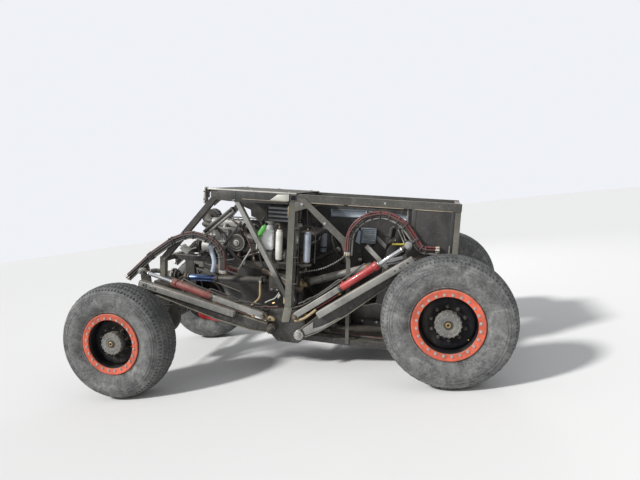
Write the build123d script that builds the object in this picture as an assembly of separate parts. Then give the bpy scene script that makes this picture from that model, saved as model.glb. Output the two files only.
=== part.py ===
# Open crawler buggy on long swing arms, nose raised on its suspension.
# Millimetres, +Z up, front towards -X, left side towards -Y, origin on the ground at mid wheelbase.
import os
from math import atan2, cos, degrees, hypot, radians, sin

from build123d import *

os.makedirs("parts", exist_ok=True)

# driving dimensions
wheelbase = 3040.0
track = 1970.0
tyreDiameter = 1090.0
tyreWidth = 370.0
ringDiameter = 577.0
bodyPitch = 10.0
frameHalfWidth = 470.0
tube = 60.0
armTube = 65.0
webThick = 58.0
steerArm = 250.0
shaftY = -160.0
braceThick = 12.0
pinRadius = 20.0
kingpinRadius = 25.0
spindleRadius = 45.0
towHoleRadius = 16.0
towPlate = 30.0
runningGap = 0.05
ringRecess = 29.0
# stations of the frame along the body and above its datum
noseInset = 70.0
tailInset = 90.0
postU = -100.0
roofW = 1690.0
beamW = 985.0
bellyW = 345.0
tailRise = 299.8
roofReach = 515.0

# sizes that follow from them
halfBase = wheelbase / 2
halfTrack = track / 2
tyreRadius = tyreDiameter / 2
axleHeight = tyreRadius
datum = axleHeight - 545.0
noseU = noseInset - halfBase
tailU = halfBase - tailInset
roofNoseU = noseU + roofReach
tailW = (axleHeight + tailRise + tailU * sin(radians(bodyPitch))) / cos(radians(bodyPitch))
ringRadius = ringDiameter / 2
beadRadius = ringRadius - 32.5
ringFace = tyreWidth / 2 - ringRecess
spindleEnd = halfTrack + ringFace - 31
sideY = frameHalfWidth - tube / 2
frameInner = frameHalfWidth - tube
seatY = frameInner - 220
armInner = frameHalfWidth + 18
webY = armInner + webThick / 2
tubeY = armInner + webThick + armTube / 2
ramY = webY + 30
kingpinY = halfTrack - 250

SIDES = {"left": -1, "right": 1}
ENDS = {"front": -1, "rear": 1}


def world(u, y, w):
    # a point of the pitched body, in the standing frame
    a = radians(bodyPitch)
    return (u * cos(a) + w * sin(a), y, -u * sin(a) + w * cos(a) + datum)


def pitched(shape):
    return Pos(0, 0, datum) * (Rot(0, bodyPitch, 0) * shape)


def bar(p, q, wide, deep, round_bar=False):
    # a straight bar from p to q, its wide side along Y
    d = Vector(*q) - Vector(*p)
    x_dir = Vector(0, 1, 0) if abs(d.normalized().Y) < 0.9 else Vector(1, 0, 0)
    plane = Plane(origin=p, x_dir=x_dir - d.normalized() * x_dir.dot(d.normalized()), z_dir=d)
    with BuildPart() as b:
        with BuildSketch(plane):
            if round_bar:
                Circle(wide / 2)
            else:
                Rectangle(wide, deep)
        extrude(amount=d.length)
    return b.part


def box(x0, x1, y0, y1, z0, z1):
    return Pos((x0 + x1) / 2, (y0 + y1) / 2, (z0 + z1) / 2) * Box(x1 - x0, y1 - y0, z1 - z0)


def disc_y(x, y0, y1, z, radius):
    return Pos(x, (y0 + y1) / 2, z) * Rot(90, 0, 0) * Cylinder(radius, abs(y1 - y0))


def disc_z(x, y, z0, z1, radius):
    return Pos(x, y, (z0 + z1) / 2) * Cylinder(radius, abs(z1 - z0))


def slab(points, y0, y1):
    # a plate with the outline points in X-Z, between two Y planes
    plane = Plane(origin=(0, y0, 0), x_dir=(1, 0, 0), z_dir=(0, -1, 0))
    with BuildPart() as b:
        with BuildSketch(plane):
            with BuildLine():
                Polyline(*points, close=True)
            make_face()
        extrude(amount=y0 - y1)
    return b.part


def joined(shapes):
    out = shapes[0]
    for s in shapes[1:]:
        out = out + s
    return out


def biggest(shape):
    return sorted(shape.solids(), key=lambda v: v.volume)[-1]


def save(shape, node):
    shapes = shape if isinstance(shape, list) else [shape]
    solids = [v for one in shapes for v in one.solids()]
    print(node, len(solids), round(sum(s.volume for s in solids) / 1e6, 2), "litres")
    export_step(Compound(children=list(solids)) if len(solids) > 1 else solids[0], "parts/" + node + ".step")


# members of one flank of the welded frame: node, u and w of both ends, depth in the side view
SIDE_MEMBERS = [
    {"node": "top_rails", "a": (roofNoseU, roofW), "b": (tailU + 25, roofW), "deep": 70},
    {"node": "posts", "a": (postU, 300), "b": (postU, roofW), "deep": 64},
    {"node": "posts", "a": (noseU, 1010), "b": (noseU, 760), "deep": 56},
    {"node": "low_rails", "a": (noseU, 785), "b": (postU, 470), "deep": 56},
    {"node": "low_rails", "a": (postU, bellyW), "b": (1030, bellyW), "deep": 56},
    {"node": "tail_rails", "a": (tailU - 290, tailW), "b": (tailU + 25, tailW), "deep": 56},
    {"node": "posts", "a": (tailU, tailW), "b": (tailU, roofW), "deep": 50},
    {"node": "rear_kicks", "a": (1000, 330), "b": (tailU - 250, tailW + 10), "deep": 56},
    {"node": "front_legs", "a": (roofNoseU + 73, roofW), "b": (noseU, beamW), "deep": 56},
    {"node": "front_braces", "a": (postU - 605, roofW), "b": (postU, 690), "deep": 42},
]
# members across the frame: u, w, square size
CROSS_MEMBERS = [
    {"name": "roof_front", "u": roofNoseU + 20, "w": roofW, "size": 50},
    {"name": "roof_mid", "u": postU, "w": roofW, "size": 60},
    {"name": "roof_rear", "u": tailU, "w": roofW, "size": 50},
    {"name": "nose", "u": noseU, "w": beamW, "size": 50},
    {"name": "belly_mid", "u": postU, "w": bellyW, "size": 56},
    {"name": "engine_beam", "u": postU, "w": beamW, "size": 50},
    {"name": "belly_rear", "u": 1000, "w": bellyW, "size": 56},
    {"name": "tail_low", "u": tailU, "w": tailW, "size": 50},
    {"name": "seat_beam", "u": 420, "w": bellyW, "size": 56},
]
# belly gusset that takes the pivots of arms and rams: u, w
GUSSET = [(-190, 275), (20, 275), (95, 340), (95, 430), (55, 610),
          (-355, 590), (-355, 500), (-290, 450), (-290, 370)]


def make_flanks():
    # each member is cut back where it meets the ones before it, as a coped and welded joint
    nodes = {"belly_gussets": []}
    for side in SIDES.values():
        y = side * sideY
        placed = [slab(GUSSET, y - tube / 2, y + tube / 2)]
        for m in SIDE_MEMBERS:
            piece = bar((m["a"][0], y, m["a"][1]), (m["b"][0], y, m["b"][1]), tube, m["deep"])
            for other in placed:
                piece = piece - other
            piece = biggest(piece)
            placed.append(piece)
            nodes.setdefault(m["node"], []).append(pitched(piece))
        # pivot pins of arms and rams stand out of the gusset
        gusset = pitched(placed[0])
        for end in ENDS:
            for where in (ARM[end]["pivot"], RAM[end]["base"]):
                root, tip = side * (frameHalfWidth - 20), side * (tubeY + 10)
                gusset = gusset + disc_y(where[0], root, tip, where[1], pinRadius)
        nodes["belly_gussets"].append(gusset)
    return nodes


def make_cross_tubes():
    return [pitched(box(m["u"] - m["size"] / 2, m["u"] + m["size"] / 2, -frameInner, frameInner,
                        m["w"] - m["size"] / 2, m["w"] + m["size"] / 2)) for m in CROSS_MEMBERS]


def make_engine_rails():
    rails = [box(noseU + 25, postU - 25, y - 25, y + 25, beamW - 25, beamW + 25) for y in (-250, 250)]
    return [pitched(v) for v in rails]


def make_shelves():
    # one ledge on either post for the accumulators, one on the left brace for the tank
    ledges = []
    for s in SIDES.values():
        y0, y1 = sorted((s * (frameInner - 75), s * frameInner))
        ledges.append(box(-290, 95, y0, y1, beamW + 50, beamW + 65))
    ledges.append(box(-455, -300, -frameInner, -frameInner + 180, 1145, 1160))
    return [pitched(v) for v in ledges]


def make_tow_eyes():
    # flat lugs with an upright bore, two at the nose and one at the tail
    spots = [(noseU - 95, noseU - 28, side * sideY, 850) for side in SIDES.values()]
    spots.append((tailU + 90, tailU + 25, 0, tailW))
    eyes = []
    for u, root, y, w in spots:
        lug = box(min(u, root), max(u, root), y - 35, y + 35, w - towPlate / 2, w + towPlate / 2)
        lug = lug + disc_z(u, y, w - towPlate / 2, w + towPlate / 2, 50)
        eyes.append(pitched(lug - disc_z(u, y, w - towPlate, w + towPlate, towHoleRadius)))
    return eyes


# arms and rams in the standing frame: X, Z of their ends
ARM = {
    "front": {"pivot": (-165, datum + 445), "eye": (-halfBase + 50, axleHeight + 430),
              "tube_from": 0.27, "rise": (45, 30), "below": 78, "above": 35},
    "rear": {"pivot": (109, datum + 369), "eye": (halfBase - 258, axleHeight + 427),
             "tube_from": 0.22, "rise": (66, 29), "below": 76, "above": 60},
}
RAM = {
    "front": {"base": (-215, datum + 578), "eye": (-halfBase + 65, axleHeight + 583)},
    "rear": {"base": (105, datum + 556), "eye": (halfBase - 284, axleHeight + 590)},
}


def along(p, q, t, off=0.0):
    # the point at t of the way from p to q, moved off to the upper side
    dx, dz = q[0] - p[0], q[1] - p[1]
    n = hypot(dx, dz)
    nx, nz = -dz / n, dx / n
    if nz < 0:
        nx, nz = -nx, -nz
    return (p[0] + dx * t + nx * off, p[1] + dz * t + nz * off)


def make_arm(side, end):
    a = ARM[end]
    p, q = a["pivot"], a["eye"]
    edge = [(0.0, -46), (0.0, 38), (a["tube_from"], a["above"]), (0.98, 38), (0.98, -38),
            (0.75, -a["below"] * 0.7), (0.4, -a["below"]), (0.14, -a["below"] * 0.9)]
    web = slab([along(p, q, t, off) for t, off in edge], side * armInner, side * (armInner + webThick))
    eye_in = disc_y(p[0], side * armInner, side * (armInner + webThick), p[1], 48)
    eye_out = disc_y(q[0], side * armInner, side * (armInner + webThick), q[1], 42)
    t0 = along(p, q, a["tube_from"], a["rise"][0])
    t1 = along(p, q, 1.02, a["rise"][1])
    rail = bar((t0[0], side * tubeY, t0[1]), (t1[0], side * tubeY, t1[1]), armTube, armTube)
    arm = web + eye_in + eye_out + rail
    for c in (p, q):
        arm = arm - disc_y(c[0], side * (armInner - 30), side * (tubeY + 60), c[1], pinRadius + runningGap)
    return arm


def make_ram(side, end):
    r = RAM[end]
    p, q = r["base"], r["eye"]
    pieces = [disc_y(c[0], side * (ramY - 22), side * (ramY + 22), c[1], 34) for c in (p, q)]
    spans = [(0.02, 0.42, 62), (0.40, 0.74, 72), (0.72, 0.985, 40)]
    for t0, t1, wide in spans:
        a, b = along(p, q, t0), along(p, q, t1)
        pieces.append(bar((a[0], side * ramY, a[1]), (b[0], side * ramY, b[1]), wide, wide, True))
    ram = joined(pieces)
    for c in (p, q):
        ram = ram - disc_y(c[0], side * (ramY - 60), side * (ramY + 60), c[1], pinRadius + runningGap)
    return ram


def input_face(end):
    return (ENDS[end] * (halfBase - 235), shaftY, axleHeight + 440)


def make_axle(end):
    x = ENDS[end] * halfBase
    z = axleHeight
    steered = end == "front"
    reach = kingpinY - 70 if steered else halfTrack - 120
    pieces = [disc_y(x, -reach, reach, z, 62)]
    pieces.append(Pos(x, shaftY, z) * Sphere(175))
    # top-mounted input neck towards the middle of the vehicle
    top = input_face(end)
    pieces.append(bar((x, shaftY, z + 60), (x - ENDS[end] * 110, shaftY, z + 400), 220, 220))
    pieces.append(bar((x - ENDS[end] * 60, shaftY, top[2]), top, 150, 150, True))
    for side in SIDES.values():
        # towers that carry the arm and ram eyes
        a, r = ARM[end]["eye"], RAM[end]["eye"]
        inner = side * (frameHalfWidth + 2)
        outer = side * (armInner - 2)
        outline = [(x - 80, z - 40), (x + 80, z - 40), (a[0] + 55, a[1] + 20), (r[0] + 40, r[1] + 20),
                   (r[0] + 30, r[1] + 80), (r[0] - 60, r[1] + 80), (a[0] - 60, a[1] - 20)]
        if ENDS[end] > 0:
            outline = [(x - 80, z - 40), (x + 80, z - 40), (x - 145, z + 515), (x - 155, z + 575),
                       (r[0] + 42, r[1] + 40), (r[0] - 42, r[1] + 40), (a[0] - 55, a[1] - 20)]
        pieces.append(slab(outline, inner, outer))
        for c in (a, r):
            pieces.append(disc_y(c[0], outer, side * (ramY + 40), c[1], pinRadius))
        if steered:
            for z0, z1 in ((z + 105, z + 135), (z - 135, z - 105)):
                y0, y1 = sorted((side * (reach - 40), side * kingpinY))
                fork = box(x - 62, x + 62, y0, y1, z0, z1)
                pieces.append(fork + disc_z(x, side * kingpinY, z0, z1, 62))
            y0, y1 = sorted((side * (reach - 40), side * reach))
            pieces.append(box(x - 62, x + 62, y0, y1, z - 135, z + 135))
        else:
            pieces.append(disc_y(x, side * (reach - 60), side * reach, z, 120))
            pieces.append(disc_y(x, side * reach, side * spindleEnd, z, spindleRadius))
    axle = joined(pieces)
    if steered:
        for side in SIDES.values():
            axle = axle - disc_z(x, side * kingpinY, z - 200, z + 200, kingpinRadius + runningGap)
    return axle


def make_knuckle(side):
    x, z = -halfBase, axleHeight
    y = side * kingpinY
    k = disc_z(x, y, z - 104.5, z + 104.5, 58)
    k = k + disc_z(x, y, z - 150, z + 150, kingpinRadius)
    k = k + disc_y(x, y, side * (kingpinY + 85), z, 58)
    k = k + disc_y(x, side * (kingpinY + 70), side * (kingpinY + 100), z, 120)
    k = k + disc_y(x, side * (kingpinY + 60), side * spindleEnd, z, spindleRadius)
    # steering arm to the front, clear of the fork
    arm_y = side * (kingpinY + 75)
    end_y = side * kingpinY
    outline_z = (z - 20, z + 5)
    y0, y1 = sorted((arm_y, side * (kingpinY + 50)))
    plate = box(x - 95, x - 20, y0, y1, *outline_z)
    link = bar((x - 80, side * (kingpinY + 70), z - 8), (x - steerArm, end_y, z - 8), 46, 24)
    k = k + plate + link + disc_z(x - steerArm, end_y, z - 20, z + 4, 30)
    k = k - disc_z(x - steerArm, end_y, z - 60, z + 60, 12 + runningGap)
    return k


def make_tie_rod():
    x, z = -halfBase - steerArm, axleHeight
    end_y = kingpinY
    rod = bar((x, -end_y, z + 30), (x, end_y, z + 30), 38, 38, True)
    for side in SIDES.values():
        rod = rod + disc_z(x, side * end_y, z + 9, z + 49, 28) + disc_z(x, side * end_y, z - 26, z + 12, 12)
    return rod


def spun(points, side, x):
    # an outline of (radius, Y offset) pairs turned about the axle line
    with BuildPart() as b:
        with BuildSketch(Plane.XY):
            with BuildLine():
                Polyline(*[(r, side * o) for r, o in points], close=True)
            make_face()
        revolve(axis=Axis.Y)
    return Pos(x, side * halfTrack, axleHeight) * b.part


def make_tyre(side, x):
    # the flank bulges past the clamp ring and drops to the bead like a bowl
    w = tyreWidth / 2
    r, bead = tyreRadius, beadRadius
    outer = [(bead, w - 67), (bead + 26, w - 50), (bead + 46, w - 36), (r - 200, w - 11), (r - 150, w),
             (r - 112, w - 3), (r - 71, w - 17), (r - 48, w - 28), (r - 19, w - 76), (r - 5, w - 125)]
    inner = [(bead, w - 85), (bead + 20, w - 78), (r - 125, w - 17), (r - 45, w - 65)]
    outline = outer + [(r, 0)] + [(p, -o) for p, o in reversed(outer)]
    outline += [(p, -o) for p, o in inner] + [(r - 30, 0)] + list(reversed(inner))
    return spun(outline, side, x)


def make_rim(side, x):
    w = tyreWidth / 2
    bead, face = beadRadius, ringFace
    barrel = [(bead - 31, 35 - w), (bead + 16, 35 - w), (bead + 16, 49 - w), (bead, 67 - w),
              (bead, face - 16), (ringRadius, face - 16), (ringRadius, face), (bead - 22, face),
              (bead - 22, face - 31), (bead - 31, face - 46)]
    disc = [(70, 48), (bead - 30, 52), (bead - 30, 74), (70, 66)]
    bore = spindleRadius + runningGap
    cover = face - 21
    hub = [(bore, -60), (88, -60), (88, 60), (104, 66), (104, cover - 4), (95, cover), (38, cover),
           (38, cover + 10), (0, cover + 10), (0, cover - 6), (bore, cover - 6)]
    return spun(barrel, side, x) + spun(disc, side, x) + spun(hub, side, x)


def make_hood():
    panel = box(roofNoseU - 30, postU + 40, -frameHalfWidth, frameHalfWidth, 1725, 1737)
    skirts = []
    for side in SIDES.values():
        y0, y1 = sorted((side * frameHalfWidth, side * (frameHalfWidth + 10)))
        skirts.append(box(roofNoseU + 15, postU - 35, y0, y1, 1652, 1737))
    edge = -frameHalfWidth
    tip = roofNoseU - 80
    plate = box(tip + 5, tip + 51, edge + 30, edge + 42, 1640, 1737)
    plate = plate + box(tip, tip + 20, edge, edge + 90, 1580, 1745)
    return pitched(joined([panel] + skirts + [plate]))


def make_rear_box():
    outer = frameHalfWidth - 4
    u0, u1 = tailU - 400, tailU - 25
    cheeks = []
    for side in SIDES.values():
        y0, y1 = sorted((side * (outer - 26), side * outer))
        cheeks.append(box(u0, u1, y0, y1, tailW + 28, tailW + 250))
    return pitched(joined([box(u0, u1, -outer, outer, tailW + 230, roofW - 35)] + cheeks))


def make_engine():
    block = box(-1180, -420, -150, 150, 905, 1180)
    heads = []
    for side in SIDES.values():
        bank = Rot(side * -40, 0, 0) * box(-1140, -480, -85, 85, 0, 250)
        heads.append(Pos(0, side * 60, 1110) * bank)
        y0, y1 = sorted((side * 140, side * 275))
        heads.append(box(-880, -780, y0, y1, 1010, 1050))
    intake = box(-1080, -520, -110, 110, 1250, 1400)
    pulley = Pos(-1200, 0, 1010) * Rot(0, 90, 0) * Cylinder(90, 50)
    return pitched(joined([block] + heads + [intake, pulley]))


def make_gearbox():
    case = box(-420, -190, -130, 130, 900, 1120)
    transfer = box(-380, -60, -260, 60, 700, 905)
    feet = box(-330, -270, -275, 275, beamW + 25, beamW + 49)
    return pitched(joined([case, transfer, feet]))


def make_shaft(end):
    # open shaft with a joint at either end, trimmed flush to the case and the axle input
    p = Vector(*world(-380 if end == "front" else -60, shaftY, 800))
    q = Vector(*input_face(end))
    n = (q - p).normalized()
    a, b = p - n * 12, q + n * 12
    shaft = bar(tuple(a), tuple(b), 76, 76, True)
    for c, d in ((a, p + n * 90), (q - n * 90, b)):
        shaft = shaft + bar(tuple(c), tuple(d), 112, 112, True)
    return shaft - make_gearbox() - make_axle(end)


def make_tub():
    floor = box(-60, 990, 1 - frameInner, frameInner - 1, 373, 385)
    wall = box(-60, -50, 77 - frameInner, frameInner - 77, 373, 1400)
    slot = box(-100, 0, shaftY - 90, shaftY + 90, 600, 950)
    # a hooded dash on the wall, with round dials let into its sloped face
    reach = frameInner - 110
    dash = slab([(-52, 1180), (15, 1180), (62, 1300), (92, 1318), (84, 1334), (-52, 1352)], -reach, reach)
    face = Vector(120, 0, -47).normalized()
    for y in (seatY - 105, seatY - 35, seatY + 35, seatY + 105):
        c = Vector(42, y, 1249)
        dash = dash - bar(tuple(c - face * 12), tuple(c + face * 30), 56, 56, True)
    # an inner sheet down the right flank, cut under the bottle shelf, with two pressed ribs
    edge = frameInner - 13
    outline = [(-52, 380), (470, 380), (470, 1240), (112, 1240), (112, 1025), (-52, 1025)]
    flank = slab(outline, edge, edge + 10)
    for w in (560, 800):
        flank = flank + box(10, 420, edge - 8, edge + 1, w, w + 40)
    wing = box(-60, -50, frameInner - 78, edge + 5, 385, 1025)
    return pitched(joined([floor, wall - slot, dash, wing, flank]))


def make_seat():
    y = seatY
    base = box(330, 800, y - 190, y + 190, 470, 560)
    back = slab([(700, 480), (830, 480), (925, 1380), (905, 1450), (820, 1450)], y - 190, y + 190)
    foot = box(380, 760, y - 150, y + 150, 385, 480)
    cheeks = [box(330, 800, y + s * 175 - 20, y + s * 175 + 20, 470, 640) for s in SIDES.values()]
    return pitched(joined([base, back, foot] + cheeks))


COLUMN = {"foot": (-50, seatY, 985), "end": (225, seatY, 1125)}


def column_axis():
    return (Vector(*COLUMN["end"]) - Vector(*COLUMN["foot"])).normalized()


def make_column():
    n = column_axis()
    foot = Vector(*COLUMN["foot"]) - n * 20
    end = Vector(*COLUMN["end"])
    column = bar(tuple(foot), tuple(end), 44, 44, True)
    column = column + bar(tuple(end - n * 5), tuple(end + n * 40), 20, 20, True)
    return pitched(column - box(-90, -50, seatY - 190, seatY + 210, 900, 1200))


def make_steering_wheel():
    n = column_axis()
    c = Vector(*COLUMN["end"]) + n * 2
    hub = bar(tuple(c), tuple(c + n * 44), 64, 64, True)
    plane = Plane(origin=tuple(c + n * 22), x_dir=(0, 1, 0), z_dir=n)
    rim = plane * Torus(158, 13)
    spokes = [plane * (Rot(0, 0, k * 120 + 90) * Pos(86, 0, 0) * Box(132, 26, 8)) for k in range(3)]
    wheel = joined([hub, rim] + spokes)
    bore = 20 + 2 * runningGap
    wheel = wheel - bar(tuple(c - n * 40), tuple(c + n * 100), bore, bore, True)
    return pitched(wheel)


def make_brace(side):
    y0 = side * frameHalfWidth
    y1 = side * (frameHalfWidth + braceThick)
    upper = slab([(-50, 1690), (28, 1690), (435, 1345), (400, 1290)], y0, y1)
    lower = slab([(375, 1350), (425, 1350), (492, 1140), (520, 330), (488, 330), (452, 1140)], y0, y1)
    return pitched(upper + lower)


HOOPS = {
    "front": [(-768, 905), (-765, 1315), (-1130, 1335), (noseU - 50, 1078), (noseU - 386, 770)],
    "rear": [(465, 1190), (455, 1560), (705, 1640), (1010, 1545), (1140, 1352), (1290, 1305)],
}


def make_hoop(side, end):
    # hose bundle strapped to a curved band
    y = side * (frameHalfWidth + 26)
    with BuildPart() as b:
        with BuildLine() as path:
            FilletPolyline(*[(u, y, w) for u, w in HOOPS[end]], radius=170 if end == "front" else 110)
        p0, p1 = HOOPS[end][0], HOOPS[end][1]
        start = Plane(origin=(p0[0], y, p0[1]), x_dir=(0, 1, 0), z_dir=(p1[0] - p0[0], 0, p1[1] - p0[1]))
        with BuildSketch(start):
            RectangleRounded(52, 44, 12)
        sweep()
    hoop = pitched(b.part)
    for other in (make_axle(end), make_brace(side)):
        hoop = hoop - other
    return biggest(hoop)


def make_accumulator(side, end):
    u = -243 if end == "front" else 43
    y = side * (frameInner - 37)
    body = disc_z(u, y, 1050, 1370, 36) + disc_z(u, y, 1360, 1395, 16)
    return pitched(body)


def make_tank():
    y = 90 - frameInner
    body = box(-430, -310, y - 80, y + 80, 1160, 1360)
    neck = disc_z(-365, y, 1350, 1435, 42)
    return pitched(body + neck)


def make_cooler():
    core = box(-440, -205, -160, 300, 1420, 1590)
    straps = [box(-340, -300, y - 15, y + 15, 1580, 1725) for y in (-120, 260)]
    return pitched(joined([core] + straps))


if __name__ == "__main__":
    for node, pieces in make_flanks().items():
        save(pieces, node)
    save(make_cross_tubes(), "cross_tubes")
    save(make_engine_rails(), "engine_rails")
    save(make_shelves(), "shelves")
    save(make_tow_eyes(), "tow_eyes")
    save(make_hood(), "hood_panel")
    save(make_tub(), "cab_tub")
    save(make_rear_box(), "rear_box")
    save(make_engine(), "engine")
    save(make_gearbox(), "gearbox")
    save(make_cooler(), "oil_cooler")
    save(make_tank(), "fluid_tank")
    save(make_seat(), "seat")
    save(make_column(), "steering_column")
    save(make_steering_wheel(), "steering_wheel")
    save([make_brace(side) for side in SIDES.values()], "cab_braces")
    save([make_accumulator(side, end) for side in SIDES.values() for end in ENDS], "accumulators")
    for end in ENDS:
        save(make_axle(end), end + "_axle")
        save(make_shaft(end), end + "_shaft")
        save([make_arm(side, end) for side in SIDES.values()], end + "_arms")
        save([make_ram(side, end) for side in SIDES.values()], end + "_rams")
        save([make_hoop(side, end) for side in SIDES.values()], end + "_hoses")
    for side_name, side in SIDES.items():
        save(make_knuckle(side), side_name + "_knuckle")
        for end in ENDS:
            where = end + "_" + side_name
            save(make_tyre(side, ENDS[end] * halfBase), where + "_tyre")
            save(make_rim(side, ENDS[end] * halfBase), where + "_wheel")
    save(make_tie_rod(), "tie_rod")
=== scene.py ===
import math
from math import cos, hypot, pi, sin, tau

import bpy
from mathutils import Matrix, Vector


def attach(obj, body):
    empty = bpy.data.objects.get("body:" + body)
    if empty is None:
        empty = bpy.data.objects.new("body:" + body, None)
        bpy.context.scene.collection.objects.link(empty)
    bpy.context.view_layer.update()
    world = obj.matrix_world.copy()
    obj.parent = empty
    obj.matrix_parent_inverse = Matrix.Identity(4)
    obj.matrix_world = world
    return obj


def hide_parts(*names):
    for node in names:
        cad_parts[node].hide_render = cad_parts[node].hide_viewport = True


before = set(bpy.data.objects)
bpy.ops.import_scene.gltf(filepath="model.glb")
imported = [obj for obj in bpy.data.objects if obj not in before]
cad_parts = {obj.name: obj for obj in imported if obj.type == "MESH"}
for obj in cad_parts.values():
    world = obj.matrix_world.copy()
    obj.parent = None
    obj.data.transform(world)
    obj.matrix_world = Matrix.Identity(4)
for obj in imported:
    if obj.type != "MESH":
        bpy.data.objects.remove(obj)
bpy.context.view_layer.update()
print("frame loaded:", len(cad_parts), "nodes")


def rotation(degrees, axis):
    return Matrix.Rotation(math.radians(degrees), 4, axis)


def facing(direction):
    # the turn of a piece that points to -Y so that it looks along direction
    return Vector((0, -1, 0)).rotation_difference(Vector(direction)).to_matrix().to_4x4()


# place of the main things, in metres
layout = {"halfBase": 1.52, "halfTrack": 0.985, "axleHeight": 0.545, "pitch": 10.0, "shaftY": -0.16}
sides = {"left": -1, "right": 1}
ends = {"front": -1, "rear": 1}
bodyTurn = rotation(layout["pitch"], "Y")
mirrored = Matrix.Scale(-1, 4, (0, 1, 0))


# handling of pieces, as by hand
def nothingSelected():
    if bpy.context.mode != "OBJECT":
        bpy.ops.object.mode_set(mode="OBJECT")
    bpy.ops.object.select_all(action="DESELECT")


def pick(*objs):
    nothingSelected()
    for o in objs:
        o.select_set(True)
    bpy.context.view_layer.objects.active = objs[0]
    return objs[0]


def settle(obj):
    pick(obj)
    bpy.ops.object.transform_apply(location=True, rotation=True, scale=True)
    return obj


def useModifier(obj, kind, **settings):
    pick(obj)
    m = obj.modifiers.new(kind.title(), kind)
    for key, value in settings.items():
        setattr(m, key, value)
    bpy.ops.object.modifier_apply(modifier=m.name)
    return obj


def softEdges(obj, width, segments=2, angle=30):
    useModifier(obj, "BEVEL", width=width, segments=segments, limit_method="ANGLE", angle_limit=math.radians(angle),
        harden_normals=False)
    return smoothed(obj, 40)


def smoothed(obj, angle=35):
    pick(obj)
    bpy.ops.object.shade_smooth_by_angle(angle=math.radians(angle))
    return obj


def block(lo, hi, bevel=0.003, segments=2):
    nothingSelected()
    centre = [(a + b) / 2 for a, b in zip(lo, hi)]
    bpy.ops.mesh.primitive_cube_add(size=1, location=centre)
    obj = bpy.context.object
    obj.scale = [abs(b - a) for a, b in zip(lo, hi)]
    settle(obj)
    if bevel:
        softEdges(obj, bevel, segments)
    return obj


def ribs(lo, hi, step, count, bevel=0.003):
    # a block repeated count times, one step apart
    return [block(*([a + d * k for a, d in zip(end, step)] for end in (lo, hi)), bevel) for k in range(count)]


def aim(obj, p, q):
    # turns a piece that stands on Z so it runs from p to q
    d = Vector(q) - Vector(p)
    z = d.normalized()
    y = Vector((0, 1, 0)) if abs(z.y) < 0.9 else Vector((1, 0, 0))
    x = y.cross(z).normalized()
    y = z.cross(x)
    turn = Matrix((x, y, z)).transposed().to_4x4()
    obj.matrix_world = Matrix.Translation((Vector(p) + Vector(q)) / 2) @ turn
    return settle(obj)


def bar(p, q, wide, deep, bevel=0.004, segments=2):
    # a square tube from p to q, its wide side along Y
    nothingSelected()
    bpy.ops.mesh.primitive_cube_add(size=1)
    obj = bpy.context.object
    obj.scale = (deep, wide, (Vector(q) - Vector(p)).length)
    settle(obj)
    aim(obj, p, q)
    if bevel:
        softEdges(obj, bevel, segments)
    return obj


def rod(p, q, radius, sidesCount=24, bevel=0.0, tip=None):
    nothingSelected()
    length = (Vector(q) - Vector(p)).length
    if tip is None:
        bpy.ops.mesh.primitive_cylinder_add(vertices=sidesCount, radius=radius, depth=length)
    else:
        bpy.ops.mesh.primitive_cone_add(vertices=sidesCount, radius1=radius, radius2=tip, depth=length)
    obj = aim(bpy.context.object, p, q)
    if bevel:
        softEdges(obj, bevel, 2)
    return smoothed(obj)


def ball(centre, radius, squash=(1, 1, 1), segments=20, rings=12):
    nothingSelected()
    bpy.ops.mesh.primitive_uv_sphere_add(segments=segments, ring_count=rings, radius=radius, location=centre)
    obj = bpy.context.object
    obj.scale = squash
    settle(obj)
    return smoothed(obj, 60)


def editing(obj, action="SELECT", mode="VERT"):
    # into edit mode with all of the mesh selected or none of it
    pick(obj)
    bpy.ops.object.mode_set(mode="EDIT")
    bpy.ops.mesh.select_mode(type=mode)
    bpy.ops.mesh.select_all(action=action)


def leaveEdit():
    bpy.ops.object.mode_set(mode="OBJECT")


def extruded(step):
    bpy.ops.mesh.extrude_region_move(TRANSFORM_OT_translate={"value": step})


def outward():
    bpy.ops.mesh.select_all(action="SELECT")
    bpy.ops.mesh.normals_make_consistent(inside=False)
    leaveEdit()


def facesWhere(obj, test):
    # face select by place: test gets centre, normal and index
    editing(obj, "DESELECT", "FACE")
    leaveEdit()
    for p in obj.data.polygons:
        p.select = bool(test(p.center, p.normal, p.index))
    bpy.ops.object.mode_set(mode="EDIT")


def vertsWhere(obj, test):
    editing(obj, "DESELECT")
    leaveEdit()
    for v in obj.data.vertices:
        v.select = bool(test(v.co))
    bpy.ops.object.mode_set(mode="EDIT")


def pressed(obj, test, thickness, depth, single=False):
    # insets the faces that pass the test and moves them by depth
    facesWhere(obj, test)
    bpy.ops.mesh.inset(thickness=thickness, depth=depth, use_individual=single)
    leaveEdit()
    return obj


def drawn(points, closed=False):
    # a line of edges drawn point by point from a plane that is merged to one vertex
    nothingSelected()
    bpy.ops.mesh.primitive_plane_add(size=0.01)
    obj = bpy.context.object
    editing(obj)
    bpy.ops.mesh.merge(type="CENTER")
    bpy.ops.transform.translate(value=Vector(points[0]))
    for a, b in zip(points, points[1:]):
        extruded(Vector(b) - Vector(a))
    if closed:
        bpy.ops.mesh.select_all(action="SELECT")
        bpy.ops.mesh.edge_face_add()
    leaveEdit()
    return obj


def lathe(points, steps=96, closed=False):
    # an outline of (radius, offset) pairs spun about the Y axis
    line = [(r, o, 0) for r, o in points]
    if closed:
        line = line + [line[0]]
    obj = drawn(line)
    editing(obj)
    bpy.ops.mesh.spin(steps=steps, angle=tau, center=(0, 0, 0), axis=(0, 1, 0))
    bpy.ops.mesh.select_all(action="SELECT")
    bpy.ops.mesh.remove_doubles(threshold=0.00005)
    outward()
    return smoothed(obj, 32)


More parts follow.
